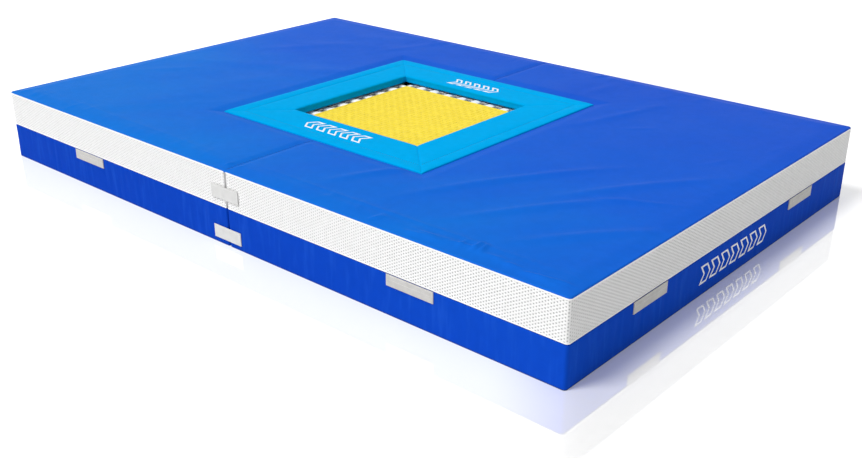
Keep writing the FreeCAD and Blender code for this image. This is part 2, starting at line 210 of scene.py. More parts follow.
def closed_strip(shape, rows, turn=0):
    """Adds a strip from the rows of points along it, closed round its section and at both ends."""
    count = len(rows[0])
    ends = np.arange(len(rows)) * count
    faces = lattice(len(rows), count, wrap_rows=True)
    shape.add(turned(np.concatenate(rows), turn), faces, ends[None, ::-1], ends[None, :] + count - 1)


def mitred_rows(share, section):
    """Rows of points along the back side, one for each (r, z) of a section, that end at the mitres."""
    return [np.column_stack((share * r, np.full_like(share, r), np.full_like(share, z))) for r, z in section]


def rounded_path(corners, nominal, radii, spacing, closed=True):
    """Plan points, outward normals and distances along a right-angled path, walked anticlockwise.

    The number of points comes from the nominal corners, so paths at different insets match point for point.
    """
    corners = [np.array(c, float) for c in corners]
    nominal = [np.array(c, float) for c in nominal]
    total = len(corners)
    points, normals = [], []

    def unit(a, b):
        return (b - a) / np.linalg.norm(b - a)

    def straight(k):
        """Points along the run from corner k to the next, without its ends."""
        a, b = corners[k], corners[(k + 1) % total]
        way = unit(a, b)
        cut_a = radii[k] if closed or k > 0 else 0
        cut_b = radii[(k + 1) % total] if closed or k + 2 < total else 0
        count = max(2, round(np.linalg.norm(nominal[(k + 1) % total] - nominal[k]) / spacing))
        steps = np.linspace(0, 1, count + 1)
        if closed or k > 0:
            steps = steps[1:]
        if closed or k + 2 < total:
            steps = steps[:-1]
        start, end = a + way * cut_a, b - way * cut_b
        for step in steps:
            points.append(start + (end - start) * step)
            normals.append((way[1], -way[0]))

    def corner(k):
        way_in = unit(corners[k - 1], corners[k])
        way_out = unit(corners[k], corners[(k + 1) % total])
        convex = way_in[0] * way_out[1] - way_in[1] * way_out[0] > 0
        centre = corners[k] - radii[k] * way_in + radii[k] * way_out
        for turn in np.linspace(0, math.pi / 2, 7):
            outward = way_in * math.sin(turn) - way_out * math.cos(turn)
            points.append(centre + radii[k] * outward)
            normals.append(outward if convex else -outward)

    for k in range(total if closed else total - 1):
        if closed or k > 0:
            corner(k)
        straight(k)
    points, normals = np.array(points), np.array(normals)
    steps = np.linalg.norm(np.diff(points, axis=0), axis=1)
    return points, normals, np.concatenate(((0,), np.cumsum(steps)))


def half_plan(inset=0.0, joint=0.0):
    """Corners of the right half, a C round the well; its joint side can stand further back."""
    near, far, wide, well = NEAR + joint + inset, FAR - inset, WIDE - inset, WELL + inset
    return [(near, -wide), (far, -wide), (far, wide), (near, wide),
            (near, well), (well, well), (well, -well), (near, -well)]


def half_ring(inset, spacing, joint=0.0):
    """Closed ring round the right half at an inset."""
    convex = [SEAM_CORNER, CORNER, CORNER, SEAM_CORNER, WELL_CORNER]
    radii = [max(r - inset, 0.3 * MM) for r in convex] + [WELL_CORNER + inset] * 2
    radii.append(max(WELL_CORNER - inset, 0.3 * MM))
    return rounded_path(half_plan(inset, joint), half_plan(), radii, spacing)


HOLE_COLUMN = 10 * MM  # between columns of holes
SEAM_REACH = 0.040  # how far the mesh's binding goes round into the joint between the halves
JOINT_HEM = 8 * MM  # from the joint's corners to the first holes of the mesh
JOINT_GAP = 3.8 * MM  # how far the upper layer's joint faces stand back below its top sheet
JOINT_CORNER = 2.5 * MM


def outer_path(inset, spacing):
    """Open path along the three outer sides of the right half, its ends turned into the joint."""
    def corners(at):
        near, far, wide = NEAR + JOINT_GAP + at, FAR - at, WIDE - at
        into = WIDE - SEAM_REACH
        return [(near, -into), (near, -wide), (far, -wide), (far, wide), (near, wide), (near, into)]

    radii = [0, JOINT_CORNER - inset, CORNER - inset, CORNER - inset, JOINT_CORNER - inset, 0]
    return rounded_path(corners(inset), corners(0), radii, spacing, closed=False)


def inner_path(inset, spacing):
    """Open path along the joint faces and the well of the right half, its ends turned out behind the mesh."""
    def corners(at):
        near, well, wide = NEAR + JOINT_GAP + at, WELL + at, WIDE - at
        end = NEAR + JOINT_GAP + JOINT_HEM + HOLE_COLUMN / 2
        return [(end, wide), (near, wide), (near, well), (well, well),
                (well, -well), (near, -well), (near, -wide), (end, -wide)]

    convex, hollow = WELL_CORNER - inset, WELL_CORNER + inset
    radii = [0, JOINT_CORNER - inset, convex, hollow, hollow, convex, JOINT_CORNER - inset, 0]
    return rounded_path(corners(inset), corners(0), radii, spacing, closed=False)


# ---------------------------------------------------------------- material tools
class Finish:
    """A procedural material: a Principled shader and the nodes that feed it."""

    def __init__(self, name, roughness, specular=0.5, metallic=0.0):
        self.material = bpy.data.materials.new(name)
        self.material.use_nodes = True
        self.tree = self.material.node_tree
        self.shader = self.tree.nodes["Principled BSDF"]
        self.set(Roughness=roughness, Metallic=metallic)
        self.shader.inputs["Specular IOR Level"].default_value = specular
        self.place = self.node("ShaderNodeTexCoord").outputs["Object"]
        self.normal = None

    def node(self, kind, **settings):
        """A new node with its settings."""
        made = self.tree.nodes.new(kind)
        for key, value in settings.items():
            setattr(made, key, value)
        return made

    def link(self, source, target):
        """Links an output to an input."""
        self.tree.links.new(source, target)

    def set(self, **values):
        """Sets plain values on the shader."""
        for key, value in values.items():
            self.shader.inputs[key].default_value = value

    def texture(self, kind, scale, stretch=(1, 1, 1), turn=(0, 0, 0), output=0, settings=None, **inputs):
        """A texture on object coordinates, turned and then stretched."""
        mapping = self.node("ShaderNodeMapping", vector_type="TEXTURE")
        mapping.inputs["Scale"].default_value = stretch
        mapping.inputs["Rotation"].default_value = turn
        self.link(self.place, mapping.inputs["Vector"])
        made = self.node(kind, **(settings or {}))
        made.inputs["Scale"].default_value = scale
        for key, value in inputs.items():
            made.inputs[key].default_value = value
        self.link(mapping.outputs["Vector"], made.inputs["Vector"])
        return made.outputs[output]

    def noise(self, scale, detail=2.0, **more):
        """Noise, with a scale in features a metre."""
        return self.texture("ShaderNodeTexNoise", scale, Detail=detail, **more)

    def cells(self, scale, **more):
        """Distance from the middles of scattered cells."""
        return self.texture("ShaderNodeTexVoronoi", scale, **more)

    def ribs(self, axis, pitch, **more):
        """Parallel ribs across an axis at a pitch in metres."""
        settings = {"wave_type": "BANDS", "bands_direction": axis, "wave_profile": "SIN"}
        return self.texture("ShaderNodeTexWave", math.pi / (10 * pitch), settings=settings, **more)

    def slope(self, heading, length):
        """A value that rises from 0 to 1 along a heading in degrees, over a length centred on the middle."""
        turn = math.radians(heading)
        mapping = self.node("ShaderNodeMapping", vector_type="TEXTURE")
        start = (-length / 2 * math.cos(turn), -length / 2 * math.sin(turn), 0)
        mapping.inputs["Location"].default_value = start
        mapping.inputs["Rotation"].default_value = (0, 0, turn)
        mapping.inputs["Scale"].default_value = (length, length, length)
        self.link(self.place, mapping.inputs["Vector"])
        made = self.node("ShaderNodeTexGradient")
        self.link(mapping.outputs["Vector"], made.inputs["Vector"])
        return made.outputs["Fac"]

    def ramp(self, value, *stops):
        """Colours, or shades of grey, at places along a value."""
        made = self.node("ShaderNodeValToRGB")
        elements = made.color_ramp.elements
        while len(elements) < len(stops):
            elements.new(0.5)
        for element, (place, colour) in zip(elements, stops):
            element.position = place
            colour = (colour,) * 3 if isinstance(colour, (int, float)) else colour
            element.color = (*colour, 1)
        self.link(value, made.inputs["Fac"])
        return made.outputs["Color"]

    def mix(self, factor, a, b, blend="MIX"):
        """Mixes two colours, each a socket or a value, by a socket or a number."""
        made = self.node("ShaderNodeMix", data_type="RGBA", blend_type=blend)
        for socket, value in ((made.inputs[0], factor), (made.inputs[6], a), (made.inputs[7], b)):
            if isinstance(value, bpy.types.NodeSocket):
                self.link(value, socket)
            else:
                socket.default_value = value if isinstance(value, (int, float)) else (*value, 1)
        return made.outputs[2]

    def colour(self, socket):
        """Takes the base colour from an output."""
        self.link(socket, self.shader.inputs["Base Color"])

    def rough(self, value, low, high):
        """Roughness that varies with a texture."""
        made = self.node("ShaderNodeMapRange")
        made.inputs["To Min"].default_value = low
        made.inputs["To Max"].default_value = high
        self.link(value, made.inputs["Value"])
        self.link(made.outputs["Result"], self.shader.inputs["Roughness"])

    def bump(self, height, depth, strength=1.0):
        """Relief of a depth in metres, added to any relief already there."""
        made = self.node("ShaderNodeBump")
        made.inputs["Distance"].default_value = depth
        made.inputs["Strength"].default_value = strength
        self.link(height, made.inputs["Height"])
        if self.normal:
            self.link(self.normal, made.inputs["Normal"])
        self.normal = made.outputs["Normal"]
        self.link(self.normal, self.shader.inputs["Normal"])
        return self


def pvc(name, colours, roughness=0.34, index=1.045, heading=0.0, tone_and_light_slope=(0.0, 6.0), wisps=0.0):
    """PVC-coated fabric: a slow colour slope, mixed with soft stretched streaks, picks among three colours,
    with the faint grain of its scrim. On the top sheet the three blues run from shaded to lit and the slope
    rises towards the front left, so there the slope and streaks are painted light and shade; on the other
    covers they are tone.
    """
    made = Finish(name, roughness)
    made.set(IOR=index)
    turn = (0, 0, math.radians(heading))
    broad = made.noise(1.6, detail=3, stretch=(1.8, 0.6, 1), turn=turn)
    # colour slope and streaks: on the top sheet painted light, a lighter azure towards the front left where
    # the light falls
    light_and_tone_share = made.mix(0.30, made.slope(*tone_and_light_slope), broad)
    shade = made.ramp(light_and_tone_share, (0.22, colours[0]), (0.50, colours[1]), (0.74, colours[2]))
    fine = made.ramp(made.noise(30, detail=4), (0.3, 0.94), (0.7, 1.0))
    shade = made.mix(1.0, shade, fine, "MULTIPLY")
    if wisps:  # pale upright streaks of a paler blue, where a noise stretched upright runs high
        upright = made.ramp(made.noise(42, detail=6, stretch=(1, 1, 9)), (0.50, 0.0), (0.74, wisps))
        shade = made.mix(upright, shade, (0.03, 0.16, 0.72))
    made.colour(shade)
    made.rough(made.noise(9, detail=3), roughness - 0.05, roughness + 0.10)
    made.bump(made.noise(16, detail=5, stretch=(1.7, 0.7, 1), turn=turn), 0.9 * MM, 0.35)
    made.bump(made.ribs("X", 1.3 * MM), 0.05 * MM, 0.5)
    made.bump(made.ribs("Y", 1.3 * MM), 0.05 * MM, 0.5)
    return made.material


def woven(name, dark, light, pitch, roughness=0.75, depth=0.15 * MM):
    """Woven cloth or webbing with ribs at a pitch and small shifts of colour."""
    made = Finish(name, roughness, 0.25)
    patches = made.ramp(made.noise(45, detail=4), (0.3, dark), (0.7, light))
    thread = made.ramp(made.ribs("X", pitch), (0.0, dark), (0.8, light))
    made.colour(made.mix(0.5, patches, thread))
    made.set(**{"Sheen Weight": 0.15})
    for axis in "XY":
        made.bump(made.ribs(axis, pitch), depth, 0.8)
    made.bump(made.noise(700, detail=2), 0.1 * MM, 0.5)
    return made.material


def steel(name, colour, dull, roughness, metallic=1.0):
    """Plated or painted steel with faint mottling and small scratches."""
    made = Finish(name, roughness, 0.5, metallic)
    made.colour(made.ramp(made.noise(60, detail=5), (0.35, dull), (0.65, colour)))
    made.rough(made.noise(140, detail=4), roughness - 0.08, roughness + 0.15)
    made.bump(made.noise(420, detail=3), 0.08 * MM, 0.4)
    return made.material


FOLD_HEADING = 50.0  # of the soft streaks across the top, which are painted light and shade in its colour
# darker violet blue in the shade to lighter azure where the light falls: shaded and lit copies of the top's
# blue, as painted light
TOP_SHADED_TO_LIT_BLUES = ((0.010, 0.080, 0.55), (0.008, 0.105, 0.60), (0.005, 0.160, 0.63))
LOWER_BLUES = ((0.002, 0.045, 0.42), (0.003, 0.052, 0.46), (0.004, 0.062, 0.50))
PAD_CYANS = ((0.0, 0.355, 0.74), (0.0, 0.365, 0.77), (0.0, 0.375, 0.79))
FINISHES = {
    # the top's colour slope rises towards the front left: painted light where the key light falls
    "top_pvc": pvc("top_pvc_blue_painted_light", TOP_SHADED_TO_LIT_BLUES, heading=FOLD_HEADING, tone_and_light_slope=(-112.0, 3.1)),
    "lower_pvc": pvc("lower_pvc_blue", LOWER_BLUES, roughness=0.38, index=1.04, wisps=0.18),
    "pad_pvc": pvc("pad_pvc_cyan", PAD_CYANS, roughness=0.45, index=1.03),
    "bed": woven("bed_yellow", (0.78, 0.59, 0.020), (0.97, 0.77, 0.035), 2.2 * MM),
    "bed_rim": woven("rim_yellow", (0.80, 0.62, 0.025), (0.97, 0.77, 0.035), 2.0 * MM),
    "hem": woven("hem_webbing", (0.45, 0.34, 0.03), (0.60, 0.46, 0.05), 2.0 * MM),
    "loop": woven("loop_webbing", (0.62, 0.61, 0.60), (0.80, 0.80, 0.79), 1.6 * MM),
    "guard": woven("guard_fabric", (0.90, 0.90, 0.89), (0.97, 0.97, 0.96), 1.2 * MM, roughness=0.85),
    "air_mesh": woven("air_mesh_white", (0.81, 0.81, 0.80), (0.88, 0.88, 0.88), 0.9 * MM, depth=0.08 * MM),
    "tape": woven("binding_white", (0.86, 0.86, 0.87), (0.95, 0.95, 0.95), 1.4 * MM),
    # the foam's sleeve is white; its mid grey is painted shade, for how dark it looks through the mesh's
    # holes
    "sleeve": woven("foam_sleeve_grey_painted_shade", (0.50, 0.50, 0.50), (0.58, 0.58, 0.58), 1.5 * MM, roughness=0.9),
    "tab": woven("tab_webbing", (0.44, 0.43, 0.41), (0.56, 0.55, 0.53), 2.4 * MM),
    "strap": woven("strap_webbing", (0.54, 0.54, 0.53), (0.66, 0.66, 0.65), 2.4 * MM),
    "thread": woven("dark_thread", (0.004, 0.02, 0.10), (0.008, 0.03, 0.14), 0.6 * MM, roughness=0.6),
    "pad_thread": woven("pad_thread", (0.001, 0.07, 0.17), (0.002, 0.09, 0.20), 0.6 * MM, roughness=0.6),
    "print": woven("white_print", (0.84, 0.86, 0.88), (0.93, 0.94, 0.95), 1.3 * MM, 0.45, 0.04 * MM),
    "frame_paint": steel("frame_paint", (0.13, 0.14, 0.15), (0.10, 0.11, 0.12), 0.38, metallic=0.2),
    "zinc": steel("zinc_steel", (0.62, 0.61, 0.59), (0.48, 0.47, 0.46), 0.38, metallic=0.5),
    "ring": steel("ring_steel", (0.62, 0.60, 0.57), (0.48, 0.46, 0.44), 0.42, metallic=0.3),
}


def rubber(name, colour):
    """Moulded rubber with a fine grain."""
    made = Finish(name, 0.7, 0.4)
    lighter = tuple(c * 1.5 for c in colour)
    made.colour(made.ramp(made.noise(80, detail=4), (0.3, colour), (0.7, lighter)))
    made.bump(made.noise(900, detail=2), 0.1 * MM, 0.5)
    return made.material


def dotted_base(name, colour, dot_colour):
    """Anti-slip sheet with raised dots."""
    made = Finish(name, 0.6, 0.3)
    dots = made.cells(110, Randomness=0.0)
    made.colour(made.ramp(dots, (0.25, dot_colour), (0.45, colour)))
    made.bump(made.ramp(dots, (0.2, 1.0), (0.5, 0.0)), 0.8 * MM, 0.8)
    return made.material


def hook_tape(name, colour):
    """Fuzzy loop tape."""
    made = Finish(name, 0.95, 0.1)
    darker = tuple(c * 0.75 for c in colour)
    made.colour(made.ramp(made.noise(300, detail=5), (0.3, darker), (0.7, colour)))
    made.bump(made.noise(900, detail=3), 0.6 * MM, 0.9)
    made.set(**{"Sheen Weight": 0.4})
    return made.material


def spacer_side(name):
    """Air mesh of the joint and well faces: its small holes painted dark grey as the shade inside them, and
    bumped in as dimples.
    """
    made = Finish(name, 0.8, 0.2)
    holes = made.cells(88, Randomness=0.12)
    # the dark grey in the holes is painted shade
    made.colour(made.ramp(holes, (0.22, (0.30, 0.30, 0.30)), (0.40, (0.88, 0.88, 0.88))))
    made.bump(made.ramp(holes, (0.2, 0.0), (0.45, 1.0)), 1.2 * MM, 0.8)
    return made.material


FINISHES["rubber"] = rubber("foot_rubber", (0.012, 0.012, 0.013))
FINISHES["base"] = dotted_base("antislip_base", (0.006, 0.030, 0.16), (0.012, 0.045, 0.22))
FINISHES["upper_base"] = dotted_base("upper_base_cloth", (0.35, 0.36, 0.38), (0.48, 0.49, 0.50))
FINISHES["loop_tape"] = hook_tape("loop_tape", (0.70, 0.70, 0.69))
FINISHES["inner_side"] = spacer_side("air_mesh_inner_painted_hole_shade")


def place(piece, body, slot, *stands_for):
    """Sets a finished piece on its body and hides the CAD nodes that it stands for; its material slot is not
    used.
    """
    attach(piece, body)
    if stands_for:
        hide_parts(*stands_for)
    return piece


def finished(shape, name, finish, body, slot, *stands_for, mirrored=False, closed=True):
    """A shape made into a piece with its finish, and set on its body."""
    return place(shape.object(name, FINISHES[finish], mirrored, closed), body, slot, *stands_for)


# ---------------------------------------------------------------- folds of the top sheets
class Folds:
    """Ridges laid over a sheet, each with a middle, heading, length, width, height and bend."""

    def __init__(self, seed):
        self.rng = np.random.default_rng(seed)
        self.ridges = []

    def ridge(self, x, y, heading, length, width, height, bend=0.0):
        """Adds a ridge; the heading is in degrees, and a bend turns it to the left as it runs."""
        turn = math.radians(heading)
        self.ridges.append((x, y, math.cos(turn), math.sin(turn), length / 2, width, height, bend))

    def run(self, x, y, heading, length, width, height, bend=0.0):
        """Adds a ridge that sets out from a point."""
        turn = math.radians(heading)
        middle = x + length / 2 * math.cos(turn), y + length / 2 * math.sin(turn)
        self.ridge(*middle, heading, length, width, height, bend)

    def scatter(self, count, x_range, y_range, heading, spread, length, width, height):
        """Adds ridges at random within ranges."""
        for _ in range(count):
            draw = self.rng.uniform
            self.ridge(draw(*x_range), draw(*y_range), heading + draw(-spread, spread), draw(*length),
                       draw(*width), draw(*height), draw(-0.2, 0.2))

    def height(self, x, y):
        """Height of all the ridges together at plan points."""
        total = np.zeros_like(x)
        for cx, cy, along_x, along_y, reach, width, height, bend in self.ridges:
            dx, dy = x - cx, y - cy
            along = dx * along_x + dy * along_y
            across = dy * along_x - dx * along_y - bend * (along * along - reach * reach)
            near = np.clip(1 - (along / reach) ** 2, 0, 1)
            total += height * np.sqrt(near) * near * np.exp(-((across / width) ** 2))
        return total


CROWN = 7 * MM  # how far the foam's crown stands above the edges
CROWN_REACH = 0.070  # from the outer edges to where the crown is full
WELL_REACH = 0.060  # the same from the well
TOP_ROLL = 5 * MM  # radius with which the top sheet rolls over the outer edges
SEAM_ROLL = 1.6 * MM
WELL_ROLL = 4 * MM
SHEET_NEAR = 0.3 * MM  # from x = 0 to each top sheet, which meet more closely than the foam does
SHEET_INSET = 1.5 * MM  # the sheet's turned-down edge lies behind the mesh band's tape
SKIRT = 4 * MM  # how far the sheet's edge turns down
FOLD_START = -0.885  # where the long folds set out from the crease along the front edge


def top_folds():
    """Folds of both top sheets."""
    made = Folds(11)
    # long folds that fan out from the front edge of the right half
    for k, length in enumerate((0.50, 1.08, 0.82, 0.62)):
        made.run(0.34 + 0.26 * k, FOLD_START, 64 - 4 * k, length, 0.026, 6.0 * MM, -0.14)
    made.run(1.00, -0.52, 57, 0.80, 0.026, 5.0 * MM, -0.12)
    made.run(1.13, -0.38, 30, 0.34, 0.018, 3.2 * MM)
    made.run(0.60, 0.13, 74, 0.78, 0.028, 3.8 * MM, 0.20)
    made.run(0.45, 0.60, 86, 0.30, 0.030, 3.0 * MM)
    made.scatter(9, (0.65, 1.40), (0.15, 0.90), 70, 35, (0.15, 0.40), (0.015, 0.03), (0.0005, 0.0014))
    made.scatter(10, (0.20, 1.35), (-0.80, 0.0), 58, 10, (0.3, 0.8), (0.03, 0.06), (0.0006, 0.0016))
    made.scatter(14, (-1.40, -0.10), (-0.90, 0.90), 50, 25, (0.4, 1.0), (0.03, 0.07), (0.0008, 0.0020))
    # the crease along the front edge, and gathers that run in from the front and back edges
    made.ridge(0.75, -0.897, 0.4, 1.7, 0.012, 2.4 * MM)
    made.ridge(-0.70, -0.905, -0.3, 1.6, 0.014, 1.4 * MM)
    for edge in (-0.93, 0.93):
        made.scatter(26, (-1.45, 1.45), (edge - 0.02, edge + 0.02), 90, 35, (0.08, 0.20), (0.008, 0.020),
                     (0.0005, 0.0015))
    # sharp crinkles near the front right corner, and at the front end of the joint
    made.scatter(5, (1.04, 1.22), (-0.93, -0.91), 100, 10, (0.07, 0.11), (0.007, 0.010), (0.0040, 0.0060))
    made.scatter(9, (0.85, 1.42), (-0.965, -0.93), 4, 9, (0.10, 0.26), (0.007, 0.012), (0.0030, 0.0050))
    made.scatter(3, (0.50, 0.75), (-0.965, -0.93), 60, 30, (0.05, 0.10), (0.006, 0.009), (0.0024, 0.0040))
    made.scatter(3, (-0.05, 0.05), (-0.965, -0.94), 60, 25, (0.03, 0.06), (0.005, 0.008), (0.0018, 0.0030))
    return made


TOP_FOLDS = top_folds()


def top_height(x, y, sign):
    """Height of a top sheet at plan points of the right half; sign is -1 for the mirrored half."""
    outer = np.minimum(FAR - SHEET_INSET - x, WIDE - SHEET_INSET - np.abs(y))
    seam = x - SHEET_NEAR
    well = np.maximum(np.abs(y) - WELL, x - WELL)
    crown = CROWN * smoothstep(outer / CROWN_REACH) * smoothstep(well / WELL_REACH)
    crown *= 0.4 + 0.6 * smoothstep(seam / 0.03)
    swell = np.zeros_like(x)
    for k, wave in enumerate((0.83, 0.61, 0.47, 0.39, 0.31)):
        turn = 0.9 + 1.7 * k
        along = sign * x * math.cos(turn) + y * math.sin(turn)
        swell += 0.35 * MM * np.sin(along * 2 * math.pi / wave + 2.1 * k)
    quiet = smoothstep(outer / 0.02) * smoothstep(well / 0.03) * smoothstep(seam / 0.015)
    relief = (swell + TOP_FOLDS.height(sign * x, y)) * quiet
    drop = np.maximum(roll_drop(outer, TOP_ROLL), roll_drop(seam, SEAM_ROLL))
    return MAT_TOP + crown + relief - np.maximum(drop, roll_drop(well, WELL_ROLL))


def round_corners(x, y, corners, radius):
    """Moves the points of square corners onto round ones; corners are (x, y, x sign, y sign)."""
    for cx, cy, sx, sy in corners:
        u = 1 - (cx - x) * sx / radius
        v = 1 - (cy - y) * sy / radius
        inside = (u > 0) & (v > 0)
        scale = np.where(inside, np.maximum(u, v) / np.maximum(np.hypot(u, v), 1e-9), 1.0)
        x = np.where(inside, cx - sx * radius * (1 - u * scale), x)
        y = np.where(inside, cy - sy * radius * (1 - v * scale), y)
    return x, y


TOP_SPACING = 7 * MM  # between the points of a top sheet
NEAR_EDGE = 0.14  # the strips along its front and back, with their gathers, have closer points
EDGE_SPACING = 4 * MM


def top_sheet(sign):
    """Top sheet of one half: one C-shaped sheet over the foam, rolled down at every edge."""
    far, wide = FAR - SHEET_INSET, WIDE - SHEET_INSET
    outer, seam, well = roll_lines(TOP_ROLL), roll_lines(SEAM_ROLL, 5), roll_lines(WELL_ROLL, 5)
    x_lines = np.concatenate((
        SHEET_NEAR + seam, between(SHEET_NEAR + SEAM_ROLL, WELL, TOP_SPACING), WELL + well,
        between(WELL + WELL_ROLL, far - TOP_ROLL, TOP_SPACING), far - outer[::-1]))
    half_lines = np.concatenate((
        WELL + well, between(WELL + WELL_ROLL, wide - NEAR_EDGE, TOP_SPACING),
        between(wide - NEAR_EDGE - EDGE_SPACING, wide - TOP_ROLL, EDGE_SPACING), wide - outer[::-1]))
    y_lines = np.concatenate((-half_lines[::-1], between(-WELL, WELL, TOP_SPACING), half_lines))
    x, y = np.meshgrid(x_lines, y_lines)
    z = top_height(x, y, sign)
    faces = lattice(len(y_lines), len(x_lines))
    middle_x = x.ravel()[faces].mean(axis=1)
    middle_y = y.ravel()[faces].mean(axis=1)
    faces = faces[(middle_x > WELL) | (np.abs(middle_y) > WELL)]
    x, y = round_corners(x, y, [(far, s * wide, 1, s) for s in (-1, 1)], CORNER)
    x, y = round_corners(x, y, [(SHEET_NEAR, s * wide, -1, s) for s in (-1, 1)], JOINT_CORNER)
    shape = Shape()
    points = np.stack((x, y, z), axis=-1).reshape(-1, 3)
    edges = np.concatenate([faces[:, [k, (k + 1) % 4]] for k in range(4)])
    ordered = np.sort(edges, axis=1)
    _, where, uses = np.unique(ordered, axis=0, return_index=True, return_counts=True)
    rim = edges[where[uses == 1]]
    skirt = np.stack((rim[:, 1], rim[:, 0], rim[:, 0] + len(points), rim[:, 1] + len(points)), axis=-1)
    shape.add(np.concatenate((points, points - (0, 0, SKIRT))), faces, skirt)
    return shape


# ---------------------------------------------------------------- mesh band of the upper layer
HOLE_PITCH = 11.2 * MM  # between holes up a column
HOLE_SHARE = 0.54  # a hole's size over its cell's
BAND_INSET = 1.0 * MM
MESH_DEPTH = 1.4 * MM
TAPE_HEIGHT = 5 * MM
BAND_LOW = UPPER_BOTTOM + 1.0 * MM
BAND_HIGH = MAT_TOP - TOP_ROLL


def on_path(path, s, depth):
    """Plan points at distances along a path, set in from it by a depth."""
    points, normals, distance = path
    x = np.interp(s, distance, points[:, 0]) - np.interp(s, distance, normals[:, 0]) * depth
    y = np.interp(s, distance, points[:, 1]) - np.interp(s, distance, normals[:, 1]) * depth
    return x, y


def mesh_band():
    """Air mesh: a honeycomb of strands round small staggered holes, through which the foam's sleeve shows,
    grey as painted shade.
    """
    path = outer_path(BAND_INSET, 4 * MM)
    length = path[2][-1]
    apex = (HOLE_COLUMN**2 + HOLE_PITCH**2 / 4) / (2 * HOLE_COLUMN)
    side, half = HOLE_COLUMN - apex, HOLE_PITCH / 2
    corners = np.array(((-side, -half), (side, -half), (apex, 0), (side, half), (-side, half), (-apex, 0)))
    holes = int((BAND_HIGH - BAND_LOW - 2 * TAPE_HEIGHT) / HOLE_PITCH) + 1
    centres = []
    end = SEAM_REACH + JOINT_HEM
    for column, s in enumerate(np.arange(end, length - end, HOLE_COLUMN)):
        count = holes + column % 2
        z = (BAND_LOW + BAND_HIGH) / 2 + (np.arange(count) - (count - 1) / 2) * HOLE_PITCH
        centres.append(np.stack((np.full(count, s), z), axis=-1))
    centres = np.concatenate(centres)[:, None, :]
    shared = np.round((centres + corners).reshape(-1, 2) / (0.01 * MM))
    unique, index = np.unique(shared, axis=0, return_inverse=True)
    outer = unique * 0.01 * MM
    steps = np.radians(np.arange(6) * 60 - 120)
    round_hole = np.stack((half * 1.08 * np.cos(steps), half * 1.08 * np.sin(steps)), axis=-1)
    # a strand stands proud round each hole, then turns into it
    rings = [(HOLE_SHARE + 0.22, -0.40 * MM), (HOLE_SHARE, 0.1 * MM), (HOLE_SHARE - 0.06, MESH_DEPTH)]
    blocks = [np.column_stack((outer, np.full(len(outer), 0.25 * MM)))]
    for share, depth in rings:
        flat = (centres + round_hole * share).reshape(-1, 2)
        blocks.append(np.column_stack((flat, np.full(len(flat), depth))))
    points = np.concatenate(blocks)
    points[:, 1] = np.clip(points[:, 1], BAND_LOW + 2 * MM, BAND_HIGH - 2 * MM)
    loops = [index.reshape(-1, 6)]
    start = len(outer)  # each hole's rings have six points of their own
    for _ in rings:
        loops.append(start + np.arange(len(centres) * 6).reshape(-1, 6))
        start += len(centres) * 6
    faces = []
    for a, b in zip(loops, loops[1:]):
        for k in range(6):
            n = (k + 1) % 6
            faces.append(np.stack((a[:, k], a[:, n], b[:, n], b[:, k]), axis=-1))
    x, y = on_path(path, points[:, 0], points[:, 2])
    shape = Shape()
    shape.add(np.column_stack((x, y, points[:, 1])), np.concatenate(faces))
    return shape


def tape(low, high, path):
    """Binding tape along a path, slightly crowned, as a closed strip."""
    across = np.linspace(0, math.pi, 7)
    z = (low + high) / 2 - np.cos(across) * (high - low) / 2
    depth = -0.9 * MM * np.sin(across) ** 0.6
    z = np.concatenate((z, z[1:-1][::-1]))
    depth = np.concatenate((depth, np.full(len(across) - 2, 0.4 * MM)))
    points, normals, _ = path
    rows = []
    for dz, d in zip(z, depth):
        plan = points - normals * d
        rows.append(np.column_stack((plan, np.full(len(plan), dz))))
    shape = Shape()
    closed_strip(shape, rows)
    return shape


def inner_side():
    """Sheet over the joint faces and the well faces of the upper layer."""
    points, normals, distance = inner_path(1.3 * MM, 10 * MM)
    levels = np.linspace(BAND_LOW, MAT_TOP - 5 * MM, 9)
    share = (levels - levels[0]) / (levels[-1] - levels[0])
    rows = []
    for z, v in zip(levels, share):
        waves = (1 + np.sin(distance * 41) * np.sin(distance * 17 + 5 * v)) / 2
        pucker = 0.8 * MM * math.sin(math.pi * v) * waves
        rows.append(np.column_stack((points - normals * pucker[:, None], np.full(len(points), z))))
    shape = Shape()
    shape.add(np.concatenate(rows), lattice(len(rows), len(points)))
    return shape


# ---------------------------------------------------------------- closed cushions of the mat
SHEET_REACH = 0.02  # from a base sheet's edge to where its flat middle starts


def cushion(profile, spacing, dent=None, joint=0.0):
    """Closed C-shaped cushion; its profile is (inset, z), out along the bottom and up to the top."""
    _, _, distance = half_ring(0, spacing)
    rows = []
    for inset, z in profile:
        points, normals, _ = half_ring(inset, spacing, joint)
        if dent:
            points = points - normals * dent(distance, z)[:, None]
        rows.append(np.column_stack((points, np.full(len(points), z))))
    count = len(distance)
    shape = Shape()
    bottom = np.arange(count)[None, ::-1]
    top = np.arange(count)[None, :] + (len(rows) - 1) * count
    shape.add(np.concatenate(rows), lattice(len(rows), count, wrap_columns=True), bottom, top)
    return shape


def cushion_profile(low, high, inset, foot, radius, levels):
    """Section of a cushion's side, rolled with a foot radius below and a larger radius above."""
    turns = np.linspace(0, math.pi / 2, 5)
    lower = [(inset + foot * (1 - math.sin(a)), low + foot * (1 - math.cos(a))) for a in turns]
    upper = [(inset + radius * (1 - math.cos(a)), high - radius * (1 - math.sin(a))) for a in turns]
    sides = [(inset, z) for z in np.linspace(low + foot, high - radius, levels)[1:-1]]
    reach = inset + radius + 0.03
    return [(reach, low)] + lower + sides + upper + [(reach, high)]


